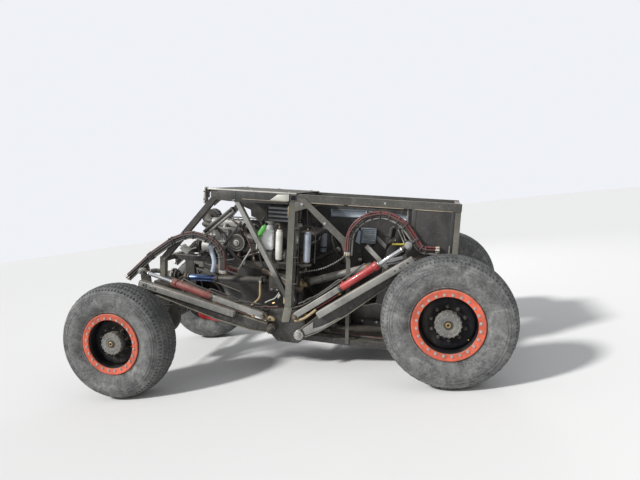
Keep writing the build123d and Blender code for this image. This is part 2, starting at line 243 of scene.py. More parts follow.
def plate(outline, y0, y1, bevel=0.002, segments=2):
    # a flat plate with its outline in X-Z between two Y planes
    obj = drawn([(x, min(y0, y1), z) for x, z in outline], closed=True)
    editing(obj)
    extruded((0, abs(y1 - y0), 0))
    outward()
    if bevel:
        softEdges(obj, bevel, segments)
    return obj


def tube(points, radius, sidesCount=10):
    # a round hose or pipe on a smooth line through the points
    curve = bpy.data.curves.new("pipe", "CURVE")
    curve.dimensions = "3D"
    curve.bevel_depth = radius
    curve.bevel_resolution = max(1, sidesCount // 4)
    curve.resolution_u = 6
    curve.use_fill_caps = True
    line = curve.splines.new("NURBS")
    line.points.add(len(points) - 1)
    for target, p in zip(line.points, points):
        target.co = (*p, 1)
    line.order_u = 3
    line.use_endpoint_u = True
    obj = bpy.data.objects.new("pipe", curve)
    bpy.context.collection.objects.link(obj)
    pick(obj)
    bpy.ops.object.convert(target="MESH")
    return smoothed(bpy.context.object, 50)


def twin(obj, matrix=None):
    other = obj.copy()
    other.data = obj.data.copy()
    bpy.context.collection.objects.link(other)
    if matrix is not None:
        other.data.transform(matrix)
        if matrix.determinant() < 0:
            other.data.flip_normals()
    return other


def ringOf(obj, count, start=0.0, keep=False):
    # copies of a piece round the Y axis
    out = []
    for k in range(count):
        out.append(twin(obj, Matrix.Rotation(start + tau * k / count, 4, "Y")))
    if not keep:
        bpy.data.objects.remove(obj)
    return out


def joined(name, parts):
    pick(*parts)
    if len(parts) > 1:
        bpy.ops.object.join()
    obj = bpy.context.view_layer.objects.active
    obj.name = name
    obj.data.name = name
    return obj


def coat(material, *objs):
    for o in objs:
        o.data.materials.clear()
        o.data.materials.append(material)
    return objs[0] if len(objs) == 1 else list(objs)


def gathering(*first):
    # a list of parts, and the function that coats new ones and puts them in it
    parts = list(first)

    def add(material, *objs):
        parts.extend(coat(material, o) for o in objs)
    return parts, add


def boltHead(radius, height, washer=True):
    # hexagon head on its washer, standing on Y = 0 and pointing to -Y
    head = rod((0, 0.0, 0), (0, -height, 0), radius, 6, 0)
    softEdges(head, radius * 0.12, 1)
    parts = [head]
    if washer:
        parts.append(rod((0, 0.0, 0), (0, -height * 0.25, 0), radius * 1.25, 16, 0))
    parts.append(rod((0, -height * 0.9, 0), (0, -height * 1.25, 0), radius * 0.5, 10, 0))
    return joined("bolt", parts)


def shifted(obj, where, turn=None):
    m = Matrix.Translation(where)
    obj.data.transform(m @ turn if turn is not None else m)
    return obj


def bothSides(name, near, *more):
    return joined(name, [near, twin(near, mirrored), *more])


def inBody(*objs):
    # from the level body's own axes to the raised nose stance
    for o in objs:
        o.data.transform(bodyTurn)
    return objs[0] if len(objs) == 1 else list(objs)


def done(obj, body, *stands):
    nothingSelected()
    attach(obj, body)
    if stands:
        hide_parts(*stands)
    return obj


# materials
class Link:
    # a socket that can be written in sums
    def __init__(self, finish, socket):
        self.finish, self.socket = finish, socket

    def math(self, operation, a, b):
        return self.finish.node("ShaderNodeMath", {"operation": operation}, {0: a, 1: b})

    def __add__(self, other):
        return self.math("ADD", self, other)

    def __radd__(self, other):
        return self.math("ADD", other, self)

    def __sub__(self, other):
        return self.math("SUBTRACT", self, other)

    def __rsub__(self, other):
        return self.math("SUBTRACT", other, self)

    def __mul__(self, other):
        return self.math("MULTIPLY", self, other)


class Finish:
    # one material and its nodes
    def __init__(self, name):
        self.material = bpy.data.materials.new(name)
        self.material.use_nodes = True
        self.tree = self.material.node_tree
        self.shader = next(n for n in self.tree.nodes if n.type == "BSDF_PRINCIPLED")

    def put(self, target, value):
        if isinstance(value, Link):
            self.tree.links.new(value.socket, target)
        elif isinstance(value, (tuple, list)) and len(value) == 3 and target.type == "RGBA":
            target.default_value = (*value, 1)
        else:
            target.default_value = value

    def node(self, kind, settings=None, inputs=None, output=0):
        n = self.tree.nodes.new(kind)
        for key, value in (settings or {}).items():
            if key == "stops":
                ramp = n.color_ramp
                while len(ramp.elements) < len(value):
                    ramp.elements.new(0.5)
                for e, (where, colour) in zip(ramp.elements, value):
                    e.position = where
                    e.color = (*colour, 1) if isinstance(colour, (tuple, list)) else (colour, colour, colour, 1)
            else:
                setattr(n, key, value)
        for key, value in (inputs or {}).items():
            self.put(n.inputs[key], value)
        return Link(self, n.outputs[output])

    def spot(self, scale=(1, 1, 1)):
        c = self.node("ShaderNodeTexCoord", output=3)
        if scale == (1, 1, 1):
            return c
        return self.node("ShaderNodeMapping", None, {"Vector": c, "Scale": scale})

    def noise(self, scale, detail=4.0, rough=0.55, stretch=(1, 1, 1), distortion=0.0):
        return self.node("ShaderNodeTexNoise", None, {"Vector": self.spot(stretch), "Scale": scale, "Detail": detail,
            "Roughness": rough, "Distortion": distortion})

    def ramp(self, value, *stops):
        return self.node("ShaderNodeValToRGB", {"stops": stops}, {0: value})

    def blend(self, factor, a, b):
        return self.node("ShaderNodeMix", {"data_type": "RGBA"}, {0: factor, 6: a, 7: b}, 2)

    def upward(self):
        n = self.node("ShaderNodeNewGeometry", output=1)
        return self.node("ShaderNodeSeparateXYZ", None, {0: n}, 2)

    def height(self):
        return self.node("ShaderNodeSeparateXYZ", None, {0: self.spot()}, 2)

    def mottled(self, blot, base, low, high):
        # the base colour between a darker and a lighter shade, in blotches
        return self.blend(self.ramp(blot, (0.35, 0.0), (0.7, 1.0)), shade(base, low), shade(base, high))

    def bump(self, height, strength=0.3, distance=0.001):
        return self.node("ShaderNodeBump", None, {"Height": height, "Strength": strength, "Distance": distance})

    def finish(self, **sockets):
        for key, value in sockets.items():
            self.put(self.shader.inputs[key.replace("_", " ")], value)
        return self.material


dust = (0.43, 0.37, 0.28)


def shade(colour, factor, plus=0.0):
    return tuple(min(1, c * factor + plus) for c in colour)


def paint(name, base, dustiness=0.5, wear=0.35, rough=0.5, metallic=0.0, under=(0.3, 0.29, 0.27), coat=0.0, grain=1.0,
        heightDarkening=None):
    # worn paint on steel: blotches, chips to metal or rust, sand dust on what faces up
    f = Finish(name)
    blot = f.noise(3.5 * grain, 5, 0.6)
    fine = f.noise(38 * grain, 6, 0.65)
    speck = f.noise(150 * grain, 3, 0.6)
    streak = f.noise(9 * grain, 4, 0.6, (1, 1, 0.18))
    colour = f.blend(f.ramp(blot, (0.35, 0.0), (0.68, 1.0)), shade(base, 0.62), shade(base, 1.25, 0.012))
    colour = f.blend(f.ramp(streak, (0.45, 0.0), (0.75, 0.45)), colour,
        tuple(c * 0.8 + d * 0.2 for c, d in zip(base, dust)))
    chips = f.ramp(fine * 0.6 + speck * 0.4, (0.6 - wear * 0.12, 0.0), (0.66 - wear * 0.12, 1.0))
    colour = f.blend(chips * wear, colour, under)
    up = f.ramp(f.upward(), (0.15, 0.0), (0.85, 1.0))
    dusty = f.ramp(fine * 0.5 + blot * 0.5, (0.38, 0.25), (0.62, 1.0))
    amount = dusty * (0.16 + up * 1.0) * dustiness
    colour = f.blend(amount, colour, dust)
    if heightDarkening:
        # how much darker it is at heights in half metres
        colour = f.blend(f.ramp(f.height() * 0.5, *heightDarkening), colour, shade(base, 0.2))
    roughness = rough + amount * 0.45 + (speck - 0.5) * 0.12
    normal = f.bump(fine * 0.6 + speck * 0.5, 0.18, 0.0012)
    return f.finish(Base_Color=colour, Roughness=roughness, Metallic=metallic, Normal=normal, Coat_Weight=coat)


def bareMetal(name, base, rough=0.38, dustiness=0.25, rust=0.0, grain=1.0, metallic=0.9):
    f = Finish(name)
    blot = f.noise(6 * grain, 5, 0.6)
    fine = f.noise(60 * grain, 5, 0.6)
    scratch = f.noise(30 * grain, 4, 0.7, (0.12, 1, 1))
    colour = f.mottled(blot, base, 0.72, 1.0)
    colour = f.blend(f.ramp(fine, (0.5, 0.0), (0.64, 1.0)) * rust, colour, (0.2, 0.085, 0.035))
    up = f.ramp(f.upward(), (0.1, 0.0), (0.9, 1.0))
    amount = f.ramp(blot * 0.6 + fine * 0.4, (0.38, 0.15), (0.62, 1.0)) * (0.35 + up * 0.8) * dustiness
    colour = f.blend(amount, colour, dust)
    roughness = rough + amount * 0.4 + (scratch - 0.5) * 0.18
    return f.finish(Base_Color=colour, Roughness=roughness, Metallic=metallic - amount * 0.8,
        Normal=f.bump(fine * 0.5 + scratch * 0.5, 0.12, 0.0008))


def castMetal(name, base, dustiness=0.45, rough=0.6):
    f = Finish(name)
    blot = f.noise(7, 5, 0.6)
    grit = f.noise(240, 4, 0.6)
    colour = f.mottled(blot, base, 0.6, 1.15)
    up = f.ramp(f.upward(), (0.0, 0.0), (0.9, 1.0))
    amount = f.ramp(blot * 0.5 + grit * 0.5, (0.4, 0.2), (0.62, 1.0)) * (0.3 + up * 0.9) * dustiness
    colour = f.blend(amount, colour, dust)
    return f.finish(Base_Color=colour, Roughness=rough + amount * 0.3, Metallic=0.35,
        Normal=f.bump(grit + blot * 0.5, 0.35, 0.0016))


def rubber(name, base, dustiness=0.5, rough=0.75):
    f = Finish(name)
    blot = f.noise(5, 5, 0.6)
    fine = f.noise(70, 5, 0.65)
    colour = f.mottled(blot, base, 0.7, 1.3)
    up = f.ramp(f.upward(), (0.0, 0.0), (0.9, 1.0))
    amount = f.ramp(blot * 0.5 + fine * 0.5, (0.4, 0.25), (0.62, 1.0)) * (0.45 + up * 0.6) * dustiness
    colour = f.blend(amount, colour, dust)
    return f.finish(Base_Color=colour, Roughness=rough + amount * 0.2, Normal=f.bump(fine, 0.22, 0.0012))


steel = {
    # the posts get darker towards the top and the front braces towards the foot, set by height
    "frame": paint("framePaint", (0.14, 0.139, 0.112), 0.66, 0.4, 0.52, heightDarkening=((0.4, 0.0), (0.8, 0.62))),
    "rail": paint("railPaint", (0.036, 0.037, 0.033), 0.46, 0.3, 0.5),
    "brace": paint("bracePaint", (0.06, 0.06, 0.053), 0.5, 0.3, 0.5),
    "dark": paint("darkSteel", (0.013, 0.013, 0.013), 0.26, 0.3, 0.5),
    "stay": paint("stayPaint", (0.27, 0.27, 0.255), 0.5, 0.5, 0.42, 0.3, (0.42, 0.41, 0.38),
        heightDarkening=((0.465, 0.97), (0.51, 0.0))),
    "light": paint("lightTube", (0.25, 0.25, 0.235), 0.55, 0.5, 0.42, 0.3, (0.42, 0.41, 0.38)),
    "hood": paint("hoodPaint", (0.01, 0.012, 0.0115), 0.17, 0.2, 0.5),
    "box": paint("boxPaint", (0.015, 0.015, 0.0165), 0.24, 0.2, 0.55),
    "orange": paint("ringPaint", (0.66, 0.07, 0.018), 0.42, 0.75, 0.45, 0.0, (0.2, 0.15, 0.12), 0.1, 2.6),
    "black": paint("dishPaint", (0.0025, 0.0025, 0.005), 0.03, 0.05, 0.62, 0.0, (0.04, 0.04, 0.04)),
    "red": paint("ramPaint", (0.47, 0.018, 0.022), 0.24, 0.25, 0.32, 0.0, (0.3, 0.27, 0.25), 0.4, 1.6),
    "maroon": paint("oldRed", (0.23, 0.03, 0.03), 0.45, 0.4, 0.5, 0.0, (0.25, 0.2, 0.18), 0.1, 1.6),
    "white": paint("whitePaint", (0.7, 0.69, 0.63), 0.3, 0.3, 0.42, 0.0, (0.25, 0.2, 0.15), 0.2, 2.0),
    "green": paint("bottleGreen", (0.06, 0.36, 0.035), 0.12, 0.1, 0.3, 0.0, (0.2, 0.3, 0.15), 0.4, 2.0),
    "blue": paint("blueGrey", (0.2, 0.24, 0.28), 0.3, 0.4, 0.4, 0.2, (0.45, 0.48, 0.5)),
    "sky": paint("paleBlue", (0.46, 0.54, 0.64), 0.25, 0.4, 0.45, 0.0, (0.14, 0.16, 0.2)),
    "yellow": paint("yellowSleeve", (0.62, 0.5, 0.03), 0.2, 0.2, 0.5),
}
darkSteel, lightSteel = steel["dark"], steel["light"]
steel["black"].node_tree.nodes["Principled BSDF"].inputs["Specular IOR Level"].default_value = 0.15
zinc = bareMetal("zincBolts", (0.55, 0.54, 0.52), 0.35, 0.35)
chrome = bareMetal("chromeRod", (0.72, 0.73, 0.75), 0.1, 0.1)
brass = bareMetal("brassFitting", (0.5, 0.33, 0.12), 0.35, 0.35)
copper = bareMetal("rustyPin", (0.28, 0.17, 0.09), 0.55, 0.5, 0.8)
polished = bareMetal("shaftSteel", (0.42, 0.43, 0.45), 0.25, 0.3, 0.25)
castGrey = castMetal("castGrey", (0.3, 0.295, 0.28))
castDark = castMetal("castDark", (0.036, 0.034, 0.031), 0.34)
hubCast = castMetal("hubCast", (0.19, 0.188, 0.176), 0.4, 0.6)
castAlloy = castMetal("castAlloy", (0.42, 0.42, 0.4), 0.4, 0.5)
hoseBlack = rubber("hoseBlack", (0.018, 0.018, 0.02), 0.26, 0.55)
hoseRed = rubber("hoseRed", (0.165, 0.017, 0.025), 0.22, 0.5)
hoseMaroon = rubber("hoseMaroon", (0.075, 0.016, 0.018), 0.3, 0.6)
print("materials made")


# camera, light, floor
cameraSet = {"place": (1.5828, -5.2058, 1.6774), "turn": (85.0265, 6.8733, 13.2679), "lens": 29.14}
camera = bpy.data.objects.new("camera", bpy.data.cameras.new("camera"))
bpy.context.collection.objects.link(camera)
camera.location = cameraSet["place"]
camera.rotation_euler = [math.radians(a) for a in cameraSet["turn"]]
camera.data.lens = cameraSet["lens"]
camera.data.sensor_width = 36
camera.data.clip_end = 200
bpy.context.scene.camera = camera
bpy.context.scene.view_settings.view_transform = "Standard"

# kind, power, place and size of each lamp
lightSet = {"key": ("SUN", 3.5, (-5.2, -4.5, 6.0), 0.12), "fill": ("AREA", 40, (5.5, -4.5, 3.5), 3.0),
    "back": ("AREA", 70, (1.5, 6.5, 5.0), 3.0)}
skySet = {"seen": 0.93, "light": 0.41, "colour": (0.93, 0.95, 1.0, 1)}


def lamp(name, kind, power, place, size):
    data = bpy.data.lights.new(name, kind)
    data.energy = power
    if kind == "SUN":
        data.angle = size
    else:
        data.shape, data.size = "DISK", size
    obj = bpy.data.objects.new(name, data)
    bpy.context.collection.objects.link(obj)
    obj.location = place
    obj.rotation_euler = (Vector((0, 0, 0.8)) - Vector(place)).to_track_quat("-Z", "Y").to_euler()


for name, values in lightSet.items():
    lamp(name, *values)

world = bpy.data.worlds.new("studio")
bpy.context.scene.world = world
world.use_nodes = True
sky = world.node_tree
paths = sky.nodes.new("ShaderNodeLightPath")


def either(a, b):
    n = sky.nodes.new("ShaderNodeMath")
    n.operation = "MAXIMUM"
    sky.links.new(a, n.inputs[0])
    sky.links.new(b, n.inputs[1])
    return n.outputs[0]


seen = either(paths.outputs["Is Camera Ray"], paths.outputs["Is Transmission Ray"])
strength = sky.nodes.new("ShaderNodeMix")
strength.inputs[2].default_value = skySet["light"]
strength.inputs[3].default_value = skySet["seen"]
sky.links.new(either(seen, paths.outputs["Is Glossy Ray"]), strength.inputs[0])
backing = sky.nodes["Background"]
backing.inputs[0].default_value = skySet["colour"]
sky.links.new(strength.outputs[0], backing.inputs[1])

bpy.ops.object.select_all(action="DESELECT")
bpy.ops.mesh.primitive_circle_add(vertices=96, radius=30, fill_type="NGON", location=(0, 0, -0.001))
floor = settle(bpy.context.object)
floor.name = "floor"
floorFinish = Finish("floorPale")
coat(floorFinish.finish(Base_Color=(0.78, 0.775, 0.76), Roughness=0.9), floor)
print("camera and light set")


# tyres
tyreSet = {"steps": 192, "grooveDepth": 0.011, "grooveWidth": 0.009, "zig": 0.0035, "grooves": (0.017, 0.06, 0.108),
    "radius": 0.545}


def crown(y):
    return tyreSet["radius"] - 1.2 * y * y - 30 * y ** 4


def tyreOutline():
    side = [(0.256, 0.118), (0.262, 0.129), (0.288, 0.136), (0.298, 0.1455), (0.3, 0.149), (0.305, 0.1505),
        (0.308, 0.149), (0.325, 0.162), (0.345, 0.1735), (0.368, 0.1815), (0.392, 0.1848), (0.415, 0.1845),
        (0.433, 0.1822), (0.4345, 0.1846), (0.4385, 0.184), (0.44, 0.1806), (0.4545, 0.1765), (0.456, 0.1788),
        (0.46, 0.1778), (0.4615, 0.1738), (0.474, 0.1682), (0.4752, 0.1708), (0.4795, 0.169), (0.4808, 0.165),
        (0.49, 0.16)]
    ridge = [(crown(0.157), 0.157), (crown(0.15), 0.15), (crown(0.128), 0.128)]
    w, d = tyreSet["grooveWidth"] / 2, tyreSet["grooveDepth"]
    for g in reversed(tyreSet["grooves"]):
        ridge += [(crown(g + w), g + w), (crown(g) - d, g + w * 0.6), (crown(g) - d, g - w * 0.6),
            (crown(g - w), g - w)]
    half = [(r, -y) for r, y in side + ridge]
    outer = half + [(r, -o) for r, o in reversed(half)]
    inner = [(0.276, 0.115), (0.42, 0.168), (0.5, 0.12), (0.515, 0.0), (0.5, -0.12), (0.42, -0.168), (0.276, -0.115)]
    return outer + inner


def makeTyre():
    tyre = lathe(tyreOutline(), tyreSet["steps"], closed=True)
    step = tau / tyreSet["steps"]
    w = tyreSet["grooveWidth"] / 2

    def turn(co):
        return int(round(math.atan2(co.z, co.x) / step))

    def sipe(c, low, high, radius, odd):
        return low < abs(c.y) < high and hypot(c.x, c.z) > radius and math.floor(math.atan2(c.z, c.x) / step) % 2 == odd

    def onEdge(co):
        return hypot(co.x, co.z) > 0.5 and any(abs(abs(co.y) - g) < w * 1.1 for g in tyreSet["grooves"])
    for odd, shift in ((0, 1), (1, -1)):
        vertsWhere(tyre, lambda co: onEdge(co) and turn(co) % 4 // 2 == odd)
        bpy.ops.transform.translate(value=(0, shift * tyreSet["zig"], 0))
        leaveEdit()
    # sipes in the shoulders and along both sides of each rib
    pressed(tyre, lambda c, n, i: sipe(c, 0.128, 0.15, 0.49, 0), 0.0042, -0.0075, True)
    pressed(tyre, lambda c, n, i: sipe(c, 0.1545, 0.1585, 0.492, 1), 0.0012, -0.0035, True)
    for low, high, k in ((0.066, 0.102, 0), (0.022, 0.055, 1)):
        pressed(tyre, lambda c, n, i: sipe(c, low, high, 0.52, k), 0.0068, -0.005, True)
    return smoothed(tyre, 32)


def tyreFinish():
    f = Finish("dustyTyre")
    c = f.spot()
    parts = f.node("ShaderNodeSeparateXYZ", None, {"Vector": c}, 1)
    blot = f.noise(4, 6, 0.62)
    fine = f.noise(55, 6, 0.65)
    grain = f.noise(320, 3, 0.6)
    smear = f.noise(9, 5, 0.7, (1, 0.4, 1), 0.6)
    base = f.blend(f.ramp(blot, (0.35, 0.0), (0.7, 1.0)), (0.036, 0.036, 0.036), (0.075, 0.075, 0.072))
    # dusty flanks, and a blue black tread left almost free of dust, its darkness partly painted shade for the tread
    # that lies in shadow
    flank = f.ramp(f.node("ShaderNodeMath", {"operation": "ABSOLUTE"},
        {0: f.node("ShaderNodeSeparateXYZ", None, {"Vector": f.node("ShaderNodeNewGeometry", output=1)}, 1)}),
        (0.12, 0.0), (0.65, 1.0))
    cover = f.ramp(smear * 0.62 + fine * 0.38, (0.4, 0.08), (0.6, 1.0))
    amount = cover * (0.08 + flank * 0.66)
    colour = f.blend(amount, base, (0.245, 0.248, 0.24))
    colour = f.blend(f.ramp(smear, (0.56, 0.0), (0.74, 0.55)) * flank, colour, (0.32, 0.3, 0.265))
    return f.finish(Base_Color=colour, Roughness=0.78 + amount * 0.15,
        Normal=f.bump(fine * 0.4 + grain * 0.6, 0.25, 0.0012))


tyreRubber = tyreFinish()
rawTyre = coat(tyreRubber, makeTyre())


def wheelPlace(end, side):
    m = Matrix.Translation((ends[end] * layout["halfBase"], sides[side] * layout["halfTrack"], layout["axleHeight"]))
    spin = Matrix.Rotation({"front": 0.35, "rear": 0.9}[end] + (0.5 if side == "right" else 0), 4, "Y")
    return m @ spin if side == "left" else m @ spin @ mirrored


for end in ends:
    for side in sides:
        piece = twin(rawTyre, wheelPlace(end, side))
        piece.name = end + "_" + side + "_tread_tyre"
        done(piece, end + "_" + side + "_roller", end + "_" + side + "_tyre")
bpy.data.objects.remove(rawTyre)
print("tyres made")


# wheels: orange clamp ring, black dish, cast hub
wheelSet = {"bolts": 24, "boltCircle": 0.247, "lugs": 10, "lugCircle": 0.138, "ringFace": -0.156}


def makeWheel():
    face = wheelSet["ringFace"]
    ring = lathe([(0.2305, face + 0.016), (0.2305, face + 0.003), (0.233, face), (0.268, face), (0.271, face - 0.0015),
        (0.284, face - 0.0015), (0.2885, face + 0.003), (0.2885, face + 0.012), (0.284, face + 0.016)], 144,
        closed=True)
    coat(steel["orange"], ring)
    bolt = coat(zinc, boltHead(0.0098, 0.008))
    bolts = ringOf(shifted(bolt, (wheelSet["boltCircle"], face, 0)), wheelSet["bolts"], 0.13)
    barrel = lathe([(0.2335, face + 0.012), (0.2335, -0.142), (0.2325, -0.125), (0.226, -0.118), (0.2245, -0.085),
        (0.224, -0.06), (0.224, 0.13), (0.236, 0.15), (0.272, 0.158), (0.272, 0.164), (0.236, 0.16), (0.229, 0.15),
        (0.229, -0.115), (0.256, -0.122), (0.258, -0.14)], 120, closed=True)
    disc = lathe([(0.06, -0.064), (0.1, -0.066), (0.15, -0.066), (0.16, -0.072), (0.196, -0.076), (0.21, -0.07),
        (0.226, -0.056), (0.226, -0.044), (0.205, -0.052), (0.16, -0.054), (0.06, -0.048)], 120, closed=True)
    coat(steel["black"], barrel, disc)
    hub = lathe([(0.055, 0.06), (0.088, 0.06), (0.09, -0.06), (0.104, -0.066), (0.1045, -0.112), (0.1035, -0.128),
        (0.1, -0.1335), (0.095, -0.1345), (0.0925, -0.1315), (0.078, -0.131), (0.076, -0.1335), (0.054, -0.135),
        (0.052, -0.132), (0.04, -0.132), (0.038, -0.135)], closed=False)
    coat(hubCast, hub)
    cap = lathe([(0.0382, -0.128), (0.0378, -0.136), (0.034, -0.1375), (0.023, -0.138), (0.0225, -0.1405),
        (0.013, -0.14), (0.0118, -0.134), (0.0001, -0.133)], 48)
    coat(castDark, cap)
    nut = coat(brass, lathe([(0.0125, -0.136), (0.013, -0.144), (0.017, -0.145), (0.0205, -0.1435), (0.0215, -0.137)],
        10))
    screws = ringOf(shifted(coat(zinc, boltHead(0.0055, 0.005, False)), (0.0855, -0.1312, 0)), 12, 0.2)
    scallops = []
    for k in range(18):
        x, z = 0.1035 * cos(tau * k / 18), 0.1035 * sin(tau * k / 18)
        scallops.append(coat(hubCast, rod((x, -0.07, z), (x, -0.1325, z), 0.0048, 10)))
    lug = joined("lug", [boltHead(0.0125, 0.02), rod((0, -0.018, 0), (0, -0.034, 0), 0.0072, 12)])
    coat(castDark, lug)
    lugs = ringOf(shifted(lug, (wheelSet["lugCircle"], -0.067, 0)), wheelSet["lugs"], 0.1)
    stem = coat(brass, rod((0.205, -0.07, 0.03), (0.192, -0.112, 0.028), 0.0045, 10))
    return joined("wheel", [ring, barrel, disc, hub, cap, nut, stem] + bolts + screws + scallops + lugs)


rawWheel = makeWheel()
for end in ends:
    for side in sides:
        piece = twin(rawWheel, wheelPlace(end, side))
        piece.name = end + "_" + side + "_ring_wheel"
        done(piece, end + "_" + side + "_roller", end + "_" + side + "_wheel")
bpy.data.objects.remove(rawWheel)
print("wheels made")


# finishes of the nodes that stay as the drawing has them
def dress(material, *nodes):
    for name in nodes:
        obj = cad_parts[name]
        for slot in obj.material_slots:
            slot.material = material


dress(steel["frame"], "posts")
dress(steel["stay"], "front_braces")
dress(steel["brace"], "cab_braces")
dress(steel["rail"], "top_rails", "tail_rails", "rear_kicks", "cross_tubes")
dress(darkSteel, "front_legs", "low_rails", "belly_gussets", "engine_rails", "tow_eyes", "shelves", "cab_tub",
    "steering_column", "tie_rod")
dress(steel["hood"], "hood_panel")
dress(steel["box"], "rear_box")
dress(castDark, "front_axle", "rear_axle", "left_knuckle", "right_knuckle")


rusty = castMetal("rustyBracket", (0.2, 0.15, 0.105), 0.6)
tanCast = castMetal("tanCast", (0.46, 0.34, 0.18), 0.5)


def along(p, q, t, off=0.0):
    # the point at t of the way from p to q in X-Z, moved off to the upper side
    d = Vector((q[0] - p[0], q[1] - p[1]))
    n = Vector((-d.y, d.x)).normalized()
    if n.y < 0:
        n = -n
    at = Vector(p) + d * t + n * off
    return at.x, at.y


def onLine(p, q, t, off, y):
    x, z = along(p, q, t, off)
    return (x, y, z)


def band(p, q, t, off, y, wide, deep, length, bevel=0.003):
    # a short strap round a bar at t of the way
    size = hypot(q[0] - p[0], q[1] - p[1])
    half = length / 2 / size
    return bar(onLine(p, q, t - half, off, y), onLine(p, q, t + half, off, y), wide, deep, bevel)


def weld(points, radius=0.0035):
    # a rippled bead laid along a seam
    line = []
    for a, b in zip(points, points[1:]):
        a, b = Vector(a), Vector(b)
        count = max(2, int((b - a).length / 0.012))
        for k in range(count):
            wave = 0.0011 if k % 2 else -0.0011
            line.append(a.lerp(b, k / count) + Vector((wave, 0, wave)))
    line.append(Vector(points[-1]))
    return tube(line, radius, 6)


# trailing arms: boxed web with flanges, light square tube outboard, eyes and bolts
armSet = {
    "front": {"pivot": (-0.165, 0.445), "eye": (-1.47, 0.975), "tubeFrom": 0.27, "rise": (0.045, 0.03), "below": 0.078,
        "above": 0.035},
    "rear": {"pivot": (0.109, 0.369), "eye": (1.262, 0.972), "tubeFrom": 0.22, "rise": (0.066, 0.029), "below": 0.076,
        "above": 0.06},
    "middle": -0.517, "skin": -0.5475, "rail": -0.5785,
}


def pivotBolt(x, z, y0, y1, radius, metal):
    # spacer, washer and nut on a pin that points outboard
    spacer = coat(zinc, rod((x, y0, z), (x, y1, z), radius * 0.72, 24, 0.001))
    washer = coat(metal, rod((x, y1 + 0.001, z), (x, y1 - 0.005, z), radius * 1.05, 28, 0.001))
    nut = coat(metal, shifted(boltHead(radius * 0.8, 0.017, False), (x, y1 - 0.004, z)))
    return [spacer, washer, nut]


def makeArm(end):
    a = armSet[end]
    p, q = a["pivot"], a["eye"]
    middle, skin, y = armSet["middle"], armSet["skin"], armSet["rail"]

    def on(t, off):
        return along(p, q, t, off)

    def at(t, off, y):
        return onLine(p, q, t, off, y)
    low = [(0.03, -0.04), (0.14, -a["below"] * 0.9), (0.4, -a["below"]), (0.75, -a["below"] * 0.7), (0.97, -0.038)]
    high = [(0.97, 0.038), (a["tubeFrom"], a["above"]), (0.03, 0.036)]
    # the web is painted near black as painted shade: the shadow that the outboard tube casts down its side
    web = plate([on(t, o) for t, o in low + high], -0.488, -0.546, 0.004)
    coat(darkSteel, web)
    flange = plate([on(t, o) for t, o in low] + [on(t, o - 0.008) for t, o in reversed(low)], -0.484, -0.553)
    top = [(0.035, 0.036), (a["tubeFrom"] + 0.02, a["above"])]
    cap = plate([on(t, o) for t, o in top] + [on(t, o + 0.006) for t, o in reversed(top)], -0.485, -0.552)
    coat(steel["frame"], flange, cap)
    a0 = a["below"] * 0.86
    start, end0 = (a["tubeFrom"], a["rise"][0]), (1.02, a["rise"][1])
    rail = bar(at(*start, y), at(*end0, y), 0.065, 0.065, 0.008, 3)
    pressed(rail, lambda c, n, i: abs(n.y) < 0.1 and n.dot(Vector((q[0] - p[0], 0,
        q[1] - p[1])).normalized()) ** 2 > 0.9, 0.006, -0.008)
    coat(lightSteel, rail)
    parts, add = gathering(web, flange, cap, rail)
    railAt = [on(*start), on(*end0)]
    # a fish plate welded over the joint of the rail
    add(lightSteel, band(railAt[0], railAt[1], 0.84, 0, y - 0.0015, 0.0655, 0.04, 0.075, 0.003))
    for t in (0.815, 0.865):
        add(castDark, shifted(boltHead(0.0062, 0.004), onLine(railAt[0], railAt[1], t, 0, y - 0.034)))
    for off in (-0.0335, 0.0335):
        seam = [onLine(railAt[0], railAt[1], t, off, skin) for t in (0.01, 0.99)]
        add(castDark, weld(seam))
    # stiffeners across the web
    for t in (0.1, 0.3, 0.48, 0.66, 0.84):
        low0 = -a["below"] * (0.8 if t < 0.7 else 0.55) + 0.004
        add(darkSteel, bar(at(t, low0, skin), at(t, -0.004 if t > a["tubeFrom"] else 0.026, skin), 0.006, 0.01, 0.0015))
    boss = lathe([(0.0205, -0.031), (0.04, -0.031), (0.0475, -0.027), (0.048, 0.027), (0.04, 0.031), (0.0205, 0.031)],
        48, closed=True)
    metal = zinc if end == "rear" else castDark
    add(metal, shifted(boss, (p[0], middle, p[1])))
    parts += pivotBolt(p[0], p[1], -0.546, -0.583, 0.03, metal)
    # notched ring about the pivot, and a pale plate on the boxed heel of the rear arm: painted sunlight, the lit patch
    # with its diagonal edge beside the web's painted shade
    for k in range(12):
        x, z = p[0] + 0.044 * cos(tau * k / 12), p[1] + 0.044 * sin(tau * k / 12)
        add(metal, rod((x, -0.548, z), (x, -0.556, z), 0.0055, 8, 0.001))
    if end == "rear":
        sunlitPatch = [on(0.05, -0.034), on(0.16, -a0), on(0.36, -a["below"] + 0.01), on(0.2, -a0 + 0.02), on(0.125, -0.02),
            on(0.155, 0.034), on(0.055, 0.032)]
        add(lightSteel, plate(sunlitPatch, -0.5465, -0.553, 0.0015))
    far = lathe([(0.0205, -0.031), (0.037, -0.031), (0.0415, -0.027), (0.0415, 0.027), (0.037, 0.031), (0.0205, 0.031)],
        40, closed=True)
    add(rusty, shifted(far, (q[0], middle, q[1])))
    # plates and gussets where the arm takes the axle tower
    for t0, t1, y0, y1 in ((0.9, 1.0, -0.546, -0.5535), (0.955, 1.0, -0.6115, -0.6165)):
        outline = [on(t0, -0.03), on(t1, -0.034), on(t1 + 0.012, 0.0), on(t1, 0.05), on(t0, 0.058)]
        add(rusty if y0 > -0.6 else lightSteel, plate(outline, y0, y1, 0.0015))
    for t, off in ((0.975, 0.0), (0.975, 0.034)):
        add(castDark, shifted(boltHead(0.008, 0.006), at(t, off, -0.6165)))
    return joined("arm_" + end, parts)


